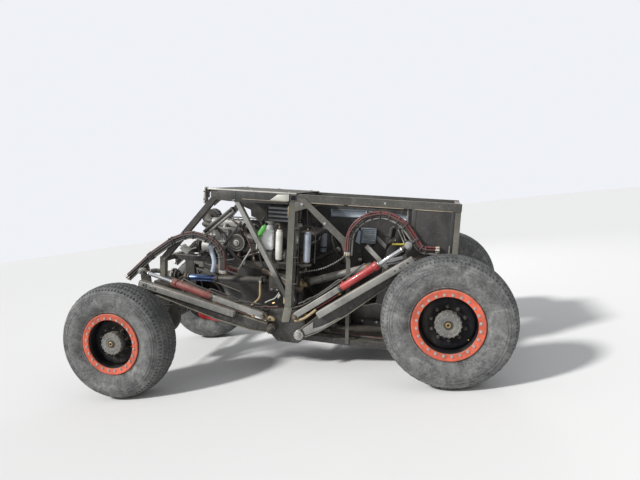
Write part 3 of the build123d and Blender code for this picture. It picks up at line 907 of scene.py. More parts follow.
for end in ends:
    more = []
    near = makeArm(end)
    if end == "front":
        # red strap stretched under the near arm
        red = plate([(-0.92, 0.668), (-0.905, 0.6), (-0.7, 0.548), (-0.69, 0.566)], -0.5, -0.53, 0.004)
        more.append(coat(steel["red"], red))
    piece = bothSides("trailing_arms_" + end, near, *more)
    done(piece, "chassis", end + "_arms")
print("arms made")


# rams: guard tube, red barrel, plated rod, ports and pipes
ramSet = {"front": {"base": (-0.215, 0.578), "eye": (-1.455, 1.128), "paint": "maroon"},
    "rear": {"base": (0.105, 0.556), "eye": (1.236, 1.135), "paint": "red"}, "y": -0.547}


def makeRam(end):
    r = ramSet[end]
    p, q, y = r["base"], r["eye"], ramSet["y"]
    colour = steel[r["paint"]]

    def at(t, off, dy=0.0):
        return onLine(p, q, t, off, y + dy)

    def run(t0, t1, radius, material, bevel=0.002, steps=36):
        return coat(material, rod(at(t0, 0), at(t1, 0), radius, steps, bevel))
    parts, add = gathering()
    for c, metal, r0 in ((p, rusty, 0.019), (q, castAlloy, 0.026)):
        eye = lathe([(0.0205, -0.021), (0.03, -0.022), (0.034, -0.019), (0.034, 0.019), (0.03, 0.022), (0.0205, 0.021)],
            40, closed=True)
        add(metal, shifted(eye, (c[0], y, c[1])))
        parts += pivotBolt(c[0], c[1], y - 0.021, y - 0.036, r0, metal)
    parts += [run(0.025, 0.055, 0.022, castDark), coat(lightSteel,
        bar(at(0.004, 0.01, -0.006), at(0.405, 0.003, -0.006), 0.056, 0.056, 0.006, 3))]
    parts += [run(0.4, 0.425, 0.0385, darkSteel), run(0.42, 0.715, 0.0355, colour, 0.001),
        run(0.705, 0.742, 0.042, colour, 0.003), run(0.745, 0.752, 0.0285, zinc)]
    for t in (0.432, 0.692):
        parts.append(run(t - 0.003, t + 0.003, 0.0372, colour, 0.001))
    parts += [run(0.75, 0.955, 0.0195, chrome, 0.001, 40), run(0.948, 0.982, 0.0235, castDark),
        run(0.94, 0.95, 0.026, zinc, 0.002, 6)]
    # ports on the upper side with elbows, and the return pipe below
    for t in (0.45, 0.67):
        add(colour, rod(at(t, 0.03), at(t, 0.047), 0.013, 16, 0.001))
        add(brass, rod(at(t, 0.046), at(t, 0.057), 0.0115, 6, 0.001))
    pipe = [at(0.67, 0.056), at(0.668, 0.07), at(0.655, 0.074), at(0.56, 0.06, -0.018), at(0.47, 0.06, -0.018),
        at(0.4, 0.052, -0.008), at(0.2, 0.046), at(0.08, 0.05, 0.01), at(0.02, 0.075, 0.04)]
    add(hoseBlack, tube(pipe, 0.0075, 8),
        tube([at(0.45, 0.056), at(0.447, 0.068), at(0.43, 0.074, 0.006), at(0.33, 0.06, 0.028), at(0.16, 0.06, 0.03),
            at(0.06, 0.085, 0.044)], 0.0085, 8))
    under = [at(t, -0.041) for t in (0.08, 0.16, 0.27, 0.38)]
    add(hoseRed if end == "rear" else hoseMaroon, tube(under, 0.008))
    for t in (0.075, 0.385):
        add(brass, rod(at(t - 0.01, -0.041), at(t + 0.01, -0.041), 0.0105, 6, 0.001))
    # curved tan shoe that carries the guard at its foot
    shoe = [at(-0.02, -0.03, -0.02), at(0.02, -0.052, -0.022), at(0.09, -0.06, -0.022), at(0.17, -0.046, -0.02)]
    if end == "rear":
        add(tanCast, tube(shoe, 0.0125, 12))
    else:
        spot = Vector((p[0] + 0.055, y + 0.012, p[1] - 0.028))
        clevis = ball(spot, 0.03, (1.75, 0.9, 0.85))
        clevis.data.transform(Matrix.Translation(spot) @ rotation(18, "Y") @ Matrix.Translation(-spot))
        add(tanCast, clevis)
        add(castDark, shifted(boltHead(0.011, 0.008), (p[0] + 0.06, y - 0.012, p[1] - 0.03)))
    # loop of hose at the base
    loop = [at(0.1, 0.036, -0.018), at(0.11, 0.062, -0.026), at(0.145, 0.082, -0.03), at(0.2, 0.075, -0.028),
        at(0.225, 0.045, -0.02), at(0.235, 0.03, -0.012)]
    add(hoseBlack, tube(loop, 0.006, 8))
    return joined("ram_" + end, parts)


for end in ends:
    piece = bothSides("hydraulic_rams_" + end, makeRam(end))
    done(piece, "chassis", end + "_rams")
print("rams made")


# hose arches: bundles strapped to a curved grey hoop
hoopSet = {
    "front": [(-0.772, 0.905), (-0.778, 1.11), (-0.88, 1.225), (-1.125, 1.285), (-1.33, 1.195), (-1.56, 1.025),
        (-1.83, 0.765)],
    "rear": [(0.466, 1.19), (0.466, 1.4), (0.575, 1.545), (0.77, 1.61), (0.96, 1.535), (1.075, 1.385), (1.135, 1.3),
        (1.29, 1.305)],
    "turn": 0.24, "y": -0.496,
}


def rounded(points, radius, steps=6):
    # the corners of a line of points turned into curves
    points = [Vector(p) for p in points]
    out = [points[0]]
    for a, b, c in zip(points, points[1:], points[2:]):
        turn = (b - a).angle(c - b)
        cut = min(radius * math.tan(turn / 2) * 1.25, 0.46 * min((b - a).length, (c - b).length))
        start, stop = b + (a - b).normalized() * cut, b + (c - b).normalized() * cut
        for k in range(steps + 1):
            t = k / steps
            out.append(start * (1 - t) ** 2 + b * (2 * t * (1 - t)) + stop * t ** 2)
    out.append(points[-1])
    return out


def beside(path, off, y, sway=0.0, phase=0.0):
    # a line that keeps beside a path in X-Z, as points in X, Y, Z
    out = []
    for k, here in enumerate(path):
        ahead = path[min(k + 1, len(path) - 1)] - path[max(k - 1, 0)]
        n = Vector((ahead.y, -ahead.x)).normalized()
        at = here - n * (off + sway * sin(k * 0.9 + phase))
        out.append((at.x, y + sway * sin(k * 0.7 + phase * 2), at.y))
    return out


def makeHoop(end):
    path = rounded(hoopSet[end], hoopSet["turn"])
    y = hoopSet["y"]
    out = 1 if end == "rear" else -1
    hoses = [(0.019, 0.012, hoseBlack), (0.019, -0.012, hoseRed if end == "rear" else hoseMaroon),
        (0.001, -0.021, hoseMaroon if end == "rear" else hoseBlack), (0.001, 0.002, hoseMaroon),
        (0.001, 0.02, hoseBlack), (-0.017, -0.012, hoseBlack), (-0.017, 0.012, hoseBlack)]
    parts, add = gathering()
    for k, (off, dy, material) in enumerate(hoses):
        line = beside(path, off * out, y + dy, 0.0022, k * 1.7)
        add(material, tube(line, 0.0098 if k else 0.0112))
        for tip, inner in ((line[0], line[1]), (line[-1], line[-2])):
            back = (Vector(inner) - Vector(tip)).normalized()
            tip = Vector(tip)
            add(zinc, rod(tip - back * 0.004, tip + back * 0.03, 0.0122, 12, 0.001))
            add(brass if k % 2 else zinc, rod(tip - back * 0.002, tip + back * 0.012, 0.0138, 6, 0.001))
    hoop = beside(path, -0.036 * out, y)
    add(lightSteel, tube(hoop, 0.0105, 12))
    for k in range(2, len(path) - 1, 3):
        a, b = path[k], path[k + 1] if (path[k + 1] - path[k]).length > 0.004 else path[k + 2]
        d = (b - a).normalized()
        at = a + d * 0.006
        n = Vector((d.y, -d.x)) * -out
        mid = at - n * 0.008
        add(hoseBlack, bar((mid.x - d.x * 0.006, y, mid.y - d.y * 0.006), (mid.x + d.x * 0.006, y, mid.y + d.y * 0.006),
            0.062, 0.08, 0.012))
    return joined("hoop_" + end, parts)


for end in ends:
    piece = bothSides("hose_arches_" + end, inBody(makeHoop(end)))
    done(piece, "chassis", end + "_hoses")
print("hose arches made")


def turned(angle, axis, *objs):
    for o in objs:
        o.data.transform(rotation(angle, axis))
    return objs[0] if len(objs) == 1 else list(objs)


def boltLine(a, b, count, radius, direction, material):
    # a row of small bolt heads from a to b on a face that looks along direction
    turn = facing(direction)
    raw = coat(material, boltHead(radius, radius * 0.8))
    out = []
    for k in range(count):
        at = Vector(a).lerp(Vector(b), k / max(1, count - 1))
        out.append(twin(raw, Matrix.Translation(at) @ turn))
    bpy.data.objects.remove(raw)
    return out


def boltAt(place, radius, direction, material):
    return boltLine(place, place, 1, radius, direction, material)


def level(y, *points):
    # a line of (u, w) points that stays at one y
    return [(u, y, w) for u, w in points]


# engine: vee block, finned covers, runners, belts, pipes
engineSet = {"rear": -0.42, "front": -1.16, "bank": 40, "ports": (-1.06, -0.9, -0.74, -0.58)}


burnt = castMetal("burntPipe", (0.085, 0.062, 0.048), 0.35)


def makeBank():
    # one cylinder bank upright on X, its foot at Z = 0
    head = block((-1.14, -0.078, 0.0), (-0.48, 0.078, 0.155), 0.008)
    coat(castGrey, head)
    cover = block((-1.125, -0.068, 0.155), (-0.495, 0.068, 0.235), 0.016, 3)
    coat(castAlloy, cover)
    parts, add = gathering(head, cover, coat(castDark, block((-1.135, -0.074, 0.15), (-0.485, 0.074, 0.16), 0.002)))
    add(castAlloy, *ribs((-1.09, -0.0475, 0.23), (-0.53, -0.0425, 0.243), (0, 0.015, 0), 7, 0.001))
    for y in (-0.071, 0.071):
        parts += boltLine((-1.11, y, 0.163), (-0.51, y, 0.163), 7, 0.007, (0, 0, 1), zinc)
    add(steel["black"], rod((-0.62, 0.02, 0.235), (-0.62, 0.02, 0.262), 0.026, 20, 0.003))
    for x in engineSet["ports"]:
        add(castGrey, block((x - 0.055, -0.088, 0.02), (x + 0.055, -0.076, 0.1), 0.004))
        add(steel["white"], rod((x + 0.06, -0.066, 0.125), (x + 0.06, -0.106, 0.142), 0.008, 10))
        wire = [(x + 0.06, -0.104, 0.141), (x + 0.062, -0.135, 0.16), (x + 0.05, -0.12, 0.225),
            (x + 0.03, -0.07, 0.262), (x + 0.02, -0.01, 0.262)]
        add(hoseBlack, tube(wire, 0.004, 6))
    return joined("bank", parts)


def makeEngine():
    parts, add = gathering()
    core = block((-1.16, -0.13, 0.955), (-0.44, 0.13, 1.165), 0.014)
    pan = block((-1.14, -0.105, 0.907), (-0.46, 0.105, 0.958), 0.012)
    lip = block((-1.155, -0.125, 0.95), (-0.445, 0.125, 0.96), 0.002)
    valley = plate([(-1.15, 1.12), (-0.45, 1.12), (-0.45, 1.2), (-1.15, 1.2)], -0.12, 0.12, 0.008)
    add(castDark, core, pan, lip, valley)
    for s in (-1, 1):
        for k in range(6):
            x = -1.12 + 0.125 * k
            add(castDark, block((x, s * 0.128, 0.97), (x + 0.016, s * 0.146, 1.13)),
                rod((x + 0.07, s * 0.125, 1.05), (x + 0.07, s * 0.137, 1.05), 0.021, 16, 0.002))
        parts += boltLine((-1.13, s * 0.115, 0.948), (-0.47, s * 0.115, 0.948), 10, 0.0055, (0, 0, -1), zinc)
        bank = makeBank()
        if s > 0:
            bank.data.transform(Matrix.Rotation(pi, 4, "Z"))
            bank.data.transform(Matrix.Translation((-1.62, 0, 0)))
        turned(-engineSet["bank"] * s, "X", bank)
        parts.append(shifted(bank, (0, s * 0.06, 1.11)))
        # exhaust runners into one collector
        for k, x in enumerate(engineSet["ports"]):
            lane = s * (0.205 + 0.012 * k)
            pipe = [(x, s * 0.15, 1.095), (x + 0.01, s * 0.215, 1.055), (x + 0.05, lane + s * 0.03, 1.0),
                (x + 0.13, lane + s * 0.012, 0.955), (-0.47, s * (0.175 + 0.022 * k), 0.935 + 0.012 * (k % 2)),
                (-0.42, s * 0.215, 0.925)]
            add(burnt, tube(pipe, 0.0185, 12))
        add(burnt, rod((-0.44, s * 0.215, 0.928), (-0.36, s * 0.235, 0.9), 0.046, 24, 0.002, 0.032),
            tube([(-0.37, s * 0.233, 0.903), (-0.28, s * 0.285, 0.86), (-0.15, s * 0.315, 0.8), (0.0, s * 0.32, 0.76)],
                0.031, 16))
        # mounts on the rails
        add(darkSteel, block((-0.878, s * 0.14, 1.012), (-0.782, s * 0.274, 1.03)))
        add(hoseBlack, rod((-0.83, s * 0.235, 1.012), (-0.83, s * 0.235, 1.052), 0.03, 24, 0.004))
        parts += boltAt((-0.83, s * 0.235, 1.05), 0.012, (0, 0, 1), zinc)
    # intake: eight runners and a ribbed plenum with a throttle to the front
    plenum = block((-1.06, -0.092, 1.315), (-0.54, 0.092, 1.398), 0.022, 3)
    base = block((-1.08, -0.108, 1.225), (-0.52, 0.108, 1.262), 0.008)
    add(castAlloy, plenum, base, *ribs((-1.03, -0.082, 1.393), (-1.022, 0.082, 1.405), (0.0575, 0, 0), 9, 0.001))
    for x in engineSet["ports"]:
        for s in (-1, 1):
            runner = [(x + 0.02 * s, s * 0.08, 1.345), (x + 0.02 * s, s * 0.135, 1.34), (x + 0.015 * s, s * 0.15, 1.3),
                (x, s * 0.11, 1.262), (x, s * 0.08, 1.235)]
            add(castAlloy, tube(runner, 0.0215, 12))
            add(zinc, rod((x + 0.02, s * 0.062, 1.262), (x + 0.02, s * 0.062, 1.3), 0.008, 10))
    for s in (-1, 1):
        add(polished, rod((-1.09, s * 0.062, 1.303), (-0.53, s * 0.062, 1.303), 0.0095, 12, 0.001))
    add(castAlloy, rod((-1.06, 0, 1.357), (-1.115, 0, 1.357), 0.046, 28, 0.003))
    add(darkSteel, tube([(-1.112, 0, 1.357), (-1.16, 0, 1.36), (-1.2, 0.05, 1.37), (-1.215, 0.13, 1.39)], 0.044, 20))
    pleats = lathe([(0.03, -0.075), (0.088, -0.075), (0.092, -0.066), (0.084, -0.06), (0.084, 0.06), (0.092, 0.066),
        (0.088, 0.075), (0.03, 0.075)], 48, closed=True)
    # every third pleat is pressed in, told by its angle because the order of the faces is not the same each run
    pressed(pleats, lambda c, n, i: abs(c.y) < 0.055 and hypot(c.x, c.z) > 0.07
        and math.floor(math.atan2(c.z, c.x) / (tau / 48)) % 3 == 0, 0.0006, -0.006, True)
    add(hoseBlack, shifted(turned(90, "Z", pleats), (-1.215, 0.19, 1.39), rotation(90, "Z")))
    # front drive: damper, pump and alternator pulleys with one belt
    wheels = [(0.0, 1.01, 0.09), (-0.165, 1.115, 0.055), (0.165, 1.13, 0.05), (0.0, 1.2, 0.062)]
    for y, z, r in wheels:
        shape = lathe([(0.0001, -0.03), (r * 0.35, -0.03), (r * 0.38, -0.018), (r * 0.78, -0.014), (r * 0.82, -0.026),
            (r, -0.026), (r, -0.021), (r - 0.007, -0.017), (r - 0.007, -0.011), (r, -0.007), (r, 0.0), (r * 0.4, 0.002),
            (0.0001, 0.002)], 48)
        add(darkSteel if r < 0.06 else castDark, shifted(shape, (-1.178, y, z), rotation(-90, "Z")))
        parts += boltAt((-1.206, y, z), r * 0.17, (-1, 0, 0), zinc)
    loop = [(-1.192, 0.0, 0.925), (-1.192, -0.09, 0.96), (-1.192, -0.215, 1.1), (-1.192, -0.185, 1.165),
        (-1.192, -0.06, 1.262), (-1.192, 0.06, 1.262), (-1.192, 0.2, 1.18), (-1.192, 0.212, 1.11), (-1.192, 0.09, 0.96),
        (-1.192, 0.0, 0.925)]
    add(hoseBlack, tube(loop, 0.0075, 8))
    alternator = lathe([(0.0001, -0.07), (0.034, -0.07), (0.06, -0.062), (0.068, -0.05), (0.068, 0.03), (0.06, 0.045),
        (0.02, 0.052), (0.0001, 0.052)], 36)
    add(castAlloy, shifted(alternator, (-1.09, -0.178, 1.118), rotation(90, "Z")))
    for k in range(10):
        a = tau * k / 10
        y, z = -0.178 + 0.06 * cos(a), 1.118 + 0.06 * sin(a)
        add(castDark, block((-1.125, y - 0.005, z - 0.005), (-1.06, y + 0.005, z + 0.005), 0.002))
    # round filter with its end cap towards the left side, and its canister strap
    drum = lathe([(0.0001, -0.07), (0.018, -0.07), (0.022, -0.062), (0.052, -0.06), (0.06, -0.066), (0.078, -0.066),
        (0.084, -0.058), (0.084, -0.05), (0.079, -0.046), (0.079, 0.045), (0.07, 0.06), (0.0001, 0.062)], 56)
    add(castDark, shifted(drum, (-0.697, -0.292, 1.2)))
    rim = lathe([(0.079, -0.012), (0.084, -0.012), (0.084, 0.012), (0.079, 0.012)], 56, closed=True)
    add(castDark, shifted(rim, (-0.697, -0.282, 1.2)))
    lip = lathe([(0.08, -0.064), (0.0845, -0.064), (0.0845, -0.06), (0.08, -0.06)], 56, closed=True)
    add(zinc, shifted(lip, (-0.697, -0.292, 1.2)))
    hub = lathe([(0.0001, -0.082), (0.012, -0.082), (0.014, -0.07), (0.03, -0.067), (0.0001, -0.064)], 24)
    add(castAlloy, shifted(hub, (-0.697, -0.292, 1.2)))
    add(darkSteel, block((-0.765, -0.25, 1.12), (-0.635, -0.225, 1.232), 0.004))
    # cast side cover on the bank, ribbed, with a screw at each corner
    side = block((-0.948, -0.318, 1.18), (-0.802, -0.23, 1.315), 0.01, 3)
    pressed(side, lambda c, n, i: n.y < -0.95, 0.014, -0.006)
    add(castAlloy, smoothed(side))
    for k in range(5):
        u = -0.922 + 0.0225 * k
        add(castAlloy, block((u, -0.3185, 1.205 + 0.006 * (k % 2)), (u + 0.007, -0.309, 1.29 - 0.01 * (k % 3)), 0.002))
    for w in (1.192, 1.303):
        parts += boltLine((-0.936, -0.318, w), (-0.814, -0.318, w), 2, 0.007, (0, -1, 0), zinc)
    add(castGrey, rod((-0.9, -0.3, 1.165), (-0.85, -0.3, 1.165), 0.016, 16, 0.002))
    add(hoseBlack, tube([(-0.697, -0.24, 1.27), (-0.7, -0.2, 1.345), (-0.66, -0.16, 1.4), (-0.57, -0.13, 1.4),
        (-0.5, -0.12, 1.345), (-0.44, -0.13, 1.25)], 0.016, 12))
    # coolant, oil and fuel hoses with clamps, wiring in a sleeve
    hoses = [
        ([(-1.12, -0.06, 1.28), (-1.18, -0.1, 1.33), (-1.12, -0.24, 1.36), (-0.92, -0.3, 1.33), (-0.8, -0.34, 1.22),
            (-0.74, -0.36, 1.06), (-0.6, -0.36, 1.0)], 0.019, hoseBlack),
        ([(-0.52, 0.05, 1.42), (-0.46, 0.06, 1.44), (-0.4, 0.02, 1.45), (-0.36, -0.05, 1.44)], 0.017, hoseBlack),
        ([(-0.95, -0.15, 1.0), (-0.95, -0.24, 0.98), (-0.8, -0.31, 1.0), (-0.62, -0.33, 1.06), (-0.45, -0.34, 1.12)],
            0.0105, hoseBlack),
        ([(-0.6, -0.12, 1.41), (-0.52, -0.2, 1.43), (-0.45, -0.3, 1.4), (-0.4, -0.36, 1.3), (-0.39, -0.38, 1.16)],
            0.0085, hoseBlack),
        ([(-0.86, -0.1, 1.4), (-0.8, -0.21, 1.4), (-0.66, -0.3, 1.34), (-0.56, -0.36, 1.22), (-0.5, -0.37, 1.06)],
            0.007, hoseMaroon),
        ([(-1.1, 0.12, 1.15), (-1.2, 0.2, 1.2), (-1.16, 0.3, 1.3), (-0.95, 0.32, 1.34), (-0.6, 0.3, 1.3),
            (-0.42, 0.25, 1.2)], 0.017, hoseBlack),
        ([(-0.5, -0.02, 1.2), (-0.42, -0.06, 1.28), (-0.36, -0.16, 1.3), (-0.3, -0.25, 1.24), (-0.25, -0.3, 1.1)],
            0.012, hoseBlack),
        ([(-1.02, -0.09, 1.41), (-0.9, -0.02, 1.425), (-0.75, 0.04, 1.42), (-0.6, 0.0, 1.425), (-0.5, -0.06, 1.38)],
            0.0065, hoseBlack),
    ]
    for line, r, material in hoses:
        add(material, tube(line, r))
        for k in (0, -1):
            a, b = Vector(line[k]), Vector(line[1 if k == 0 else -2])
            d = (b - a).normalized()
            add(zinc, rod(a - d * 0.004, a + d * 0.01, r * 1.15, 14, 0.0008))
    return joined("vee_engine", parts)


piece = inBody(makeEngine())
done(piece, "chassis", "engine")
print("engine made")


# gearbox and transfer case with bell, ribs, covers and yokes
def makeGearbox():
    bell = block((-0.455, -0.15, 0.912), (-0.37, 0.15, 1.15), 0.03, 3)
    case = block((-0.372, -0.118, 0.92), (-0.195, 0.118, 1.1), 0.022, 3)
    coat(castAlloy, bell, case)
    parts, add = gathering(bell, case)
    add(castAlloy, *ribs((-0.355, -0.126, 0.93), (-0.348, 0.126, 1.108), (0.034, 0, 0), 5, 0.002))
    for s in (-1, 1):
        parts += boltLine((-0.372, s * 0.15, 0.93), (-0.372, s * 0.15, 1.13), 5, 0.0085, (1, 0, 0), zinc)
    box = block((-0.375, -0.255, 0.705), (-0.065, 0.055, 0.9), 0.02, 3)
    lid = block((-0.345, -0.266, 0.725), (-0.095, -0.253, 0.88), 0.008)
    add(castDark, box, lid)
    for w in (0.738, 0.868):
        parts += boltLine((-0.335, -0.266, w), (-0.105, -0.266, w), 5, 0.008, (0, -1, 0), zinc)
    add(castDark, *ribs((-0.33, -0.272, 0.757), (-0.11, -0.264, 0.763), (0, 0, 0.04), 3, 0.001),
        block((-0.329, -0.274, 1.011), (-0.271, 0.274, 1.033), 0.004))
    for s in (-1, 1):
        parts += boltAt((-0.3, s * 0.25, 1.033), 0.013, (0, 0, 1), zinc)
    for x, d in ((-0.378, -1), (-0.062, 1)):
        flange = lathe([(0.0001, 0.0), (0.06, 0.0), (0.062, -0.004), (0.062, -0.016), (0.045, -0.02), (0.045, -0.03),
            (0.0001, -0.03)], 32)
        add(castDark, shifted(flange, (x - d * 0.012, -0.16, 0.8), rotation(90 * d, "Z")))
    add(darkSteel, rod((-0.15, -0.07, 0.9), (-0.05, -0.02, 1.03), 0.01, 12))
    add(hoseBlack, ball((-0.045, -0.018, 1.036), 0.022),
        tube([(-0.22, 0.12, 1.02), (-0.2, 0.2, 1.0), (-0.14, 0.24, 0.9), (-0.2, 0.22, 0.78), (-0.36, 0.2, 0.74)],
            0.011))
    return joined("gear_cases", parts)


piece = inBody(makeGearbox())
done(piece, "chassis", "gearbox")


# propeller shafts: yokes, crosses, tube and slip joint
def worldAt(u, y, w):
    return bodyTurn @ Vector((u, y, w))


def yoke(at, along0, twist, material):
    # a fork of two ears about a cross, its foot away from the joint
    d = Vector(along0).normalized()
    side = d.cross(Vector((0, 0, 1))).normalized()
    other = d.cross(side)
    ear = (side * cos(twist) + other * sin(twist)).normalized()
    out = [coat(material, rod(at - d * 0.058, at - d * 0.03, 0.05, 28, 0.003))]
    for s in (-1, 1):
        tip = at + ear * s * 0.036
        out.append(coat(material, bar(tip - d * 0.045, tip + d * 0.006, 0.03, 0.03, 0.006)))
        out.append(coat(material, rod(tip - ear * s * 0.012, tip + ear * s * 0.014, 0.021, 20, 0.002)))
        out.append(coat(material, rod(tip + ear * s * 0.012, tip + ear * s * 0.017, 0.015, 18, 0.001)))
    return out


# painted reflection: the blue base colour stands for the sky mirrored in the front shaft's slip tube
skyReflectionBlue = bareMetal("paintedSkyReflectionShaft", (0.1, 0.17, 0.38), 0.36, 0.16, 0.0, 0.6)


def makeShaft(end):
    start = worldAt(-0.38 if end == "front" else -0.06, layout["shaftY"], 0.8)
    stop = Vector((ends[end] * 1.285, layout["shaftY"], 0.985))
    d = (stop - start).normalized()
    length = (stop - start).length
    parts, add = gathering()
    one, two = start + d * 0.055, stop - d * 0.055
    for at, way in ((one, 1), (two, -1)):
        parts += yoke(at, d * way, 0.35, castDark if end == "front" else tanCast)
        parts += yoke(at, -d * way, 0.35 + pi / 2, castDark)
        add(castDark, ball(at, 0.02))
    tubeEnd = 0.56 if end == "front" else 0.6
    add(darkSteel if end == "front" else lightSteel, rod(one + d * 0.055, start + d * length * tubeEnd, 0.038, 36,
        0.002))
    add(castDark, rod(start + d * (length * tubeEnd - 0.012), start + d * (length * tubeEnd + 0.03), 0.044, 32, 0.003))
    add(skyReflectionBlue if end == "front" else polished, rod(start + d * (length * tubeEnd + 0.028), two - d * 0.055, 0.0335,
        36, 0.002))
    add(castDark, rod(two - d * 0.085, two - d * 0.052, 0.042, 32, 0.003))
    for t in (0.2, 0.62):
        add(castDark, rod(start + d * (length * t), start + d * (length * t + 0.006), 0.0395, 32, 0.001))
    return joined("shaft_" + end, parts)


for end in ends:
    piece = makeShaft(end)
    piece.name = "propeller_shaft_" + end
    done(piece, "chassis", end + "_shaft")
print("drive line made")


# accumulators: cream cylinders on posts, brass heads, clamps, small lines
def makeAccumulator(u, s):
    y = s * 0.373
    body = steel["white"] if u < -0.1 else steel["paleBottle"]
    foot = rusty if u < -0.1 else castDark
    parts, add = gathering()

    def upright(material, z0, z1, radius, sidesCount, bevel=0.001):
        add(material, rod((u, y, z0), (u, y, z1), radius, sidesCount, bevel))
    upright(body, 1.066, 1.352, 0.0345, 40, 0.012)
    upright(body, 1.35, 1.368, 0.027, 32, 0.005)
    upright(castDark, 1.364, 1.384, 0.0155, 6)
    upright(brass, 1.382, 1.396, 0.0105, 16)
    upright(castDark, 1.05, 1.07, 0.03, 32, 0.004)
    # inner half clamps, and brown fittings at the foot
    for z in (1.125, 1.295):
        add(darkSteel, block((u - 0.038, y - s * 0.04, z - 0.008), (u + 0.038, y - s * 0.002, z + 0.008), 0.002))
    upright(foot, 1.03, 1.052, 0.021, 6)
    upright(foot, 0.985, 1.034, 0.0125, 14)
    add(foot, rod((u, y - 0.02, 0.992), (u, y + 0.02, 0.992), 0.0135, 6, 0.001))
    way = -1 if u < -0.1 else 1
    line = [(u, y, 1.394), (u, y, 1.412), (u + way * 0.02, y + 0.01, 1.425), (u + way * 0.06, y + 0.03, 1.4),
        (u + way * 0.075, y + 0.03, 1.3), (u + way * 0.075, y + 0.02, 1.06)]
    add(hoseBlack, tube(line, 0.0062, 8))
    return parts


steel["paleBottle"] = paint("paleBottle", (0.34, 0.38, 0.44), 0.22, 0.25, 0.4, 0.0, (0.25, 0.25, 0.25))
steel["tank"] = paint("tankPlastic", (0.8, 0.81, 0.8), 0.14, 0.12, 0.38, 0.0, (0.45, 0.44, 0.4))
steel["cooler"] = paint("coolerBand", (0.27, 0.29, 0.31), 0.25, 0.3, 0.45, 0.2, (0.5, 0.5, 0.5))
gas = []
for s in (-1, 1):
    for u in (-0.243, 0.043):
        gas += makeAccumulator(u, s)
piece = inBody(joined("accumulator_bottles", gas))
done(piece, "chassis", "accumulators")


# fluid tank with a swaged body, strap and filler, and the green bottle before it
def makeTank():
    body = block((-0.429, -0.399, 1.161), (-0.311, -0.241, 1.358), 0.018, 4)
    pressed(body, lambda c, n, i: abs(n.y) > 0.95 or abs(n.x) > 0.95, 0.018, 0.0035, True)
    coat(steel["tank"], smoothed(body))
    parts, add = gathering(body)
    add(steel["tank"], *ribs((-0.433, -0.403, 1.197), (-0.307, -0.237, 1.213), (0, 0, 0.113), 2, 0.004),
        rod((-0.365, -0.32, 1.355), (-0.365, -0.32, 1.405), 0.037, 36, 0.002))
    cap = coat(lightSteel, rod((-0.365, -0.32, 1.402), (-0.365, -0.32, 1.434), 0.0415, 24, 0.004))
    pressed(cap, lambda c, n, i: abs(n.z) < 0.1 and i % 2 == 0, 0.002, -0.002, True)
    parts.append(cap)
    add(hoseBlack, tube([(-0.4, -0.39, 1.19), (-0.42, -0.42, 1.17), (-0.43, -0.41, 1.08), (-0.4, -0.36, 0.98)], 0.01))
    add(steel["white"], rod((-0.456, -0.425, 1.165), (-0.456, -0.425, 1.24), 0.006, 10))
    return joined("tank", parts)


piece = inBody(makeTank())
done(piece, "chassis", "fluid_tank")


# oil cooler: tanks, rows of fins, straps
def makeCooler():
    u0, u1, y0, y1, z0, z1 = -0.44, -0.205, -0.16, 0.3, 1.42, 1.59
    parts, add = gathering(coat(darkSteel, block((u0, y0, z0), (u1, y0 + 0.03, z1), 0.006)),
        coat(lightSteel, block((u0, y1 - 0.03, z0), (u1, y1, z1), 0.008)))
    # pale ribs that stand out of the near end
    for k in range(4):
        z = z0 + 0.006 + 0.0415 * k
        add(steel["cooler"], block((u0 + 0.004, y0 - 0.007, z), (u1 - 0.004, y0 + 0.004, z + 0.021)))
        add(castDark, block((u0 + 0.004, y0 - 0.003, z + 0.026), (u1 - 0.004, y0 + 0.004, z + 0.029), 0.001))
    core = block((u0 + 0.012, y0 + 0.028, z0 + 0.006), (u1 - 0.012, y1 - 0.028, z1 - 0.006), 0)
    add(castDark, core)
    for k in range(9):
        z = z0 + 0.012 + 0.0185 * k
        add(castAlloy if k % 2 else lightSteel, block((u0 + 0.004, y0 + 0.028, z - 0.003),
            (u1 - 0.004, y1 - 0.028, z + 0.003), 0))
    add(darkSteel, *ribs((-0.338, -0.132, 1.59), (-0.302, -0.108, 1.725), (0, 0.38, 0), 2, 0.002))
    for z in (1.455, 1.555):
        add(castDark, rod((u0 - 0.004, -0.02, z), (u0 + 0.02, -0.02, z), 0.014, 6, 0.001))
        add(hoseBlack, tube([(u0, -0.02, z), (u0 - 0.03, -0.02, z), (u0 - 0.055, -0.03, z - 0.03),
            (u0 - 0.04, -0.05, z - 0.12), (-0.45, -0.07, 1.28)], 0.011))
    return joined("cooler", parts)


piece = inBody(makeCooler())
done(piece, "chassis", "oil_cooler")
print("tank, bottles and cooler made")


# hood: pale folded sheet on dark skirts, quarter turn buttons, front plate with its two plugs
paleSheet = paint("paleSheet", (0.52, 0.51, 0.46), 0.45, 0.35, 0.45, 0.25, (0.62, 0.61, 0.58), 0.0, 1.4)
dullSheet = paint("dullSheet", (0.046, 0.047, 0.045), 0.16, 0.3, 0.75, 0.2, (0.22, 0.21, 0.19), 0.0, 1.2)
tanStrip = paint("dustyTan", (0.4, 0.33, 0.24), 0.5, 0.3, 0.6, 0.0, (0.3, 0.26, 0.2), 0.0, 1.6)
hoodSet = {"front": -0.965, "rear": -0.06, "dent": 0.0022}


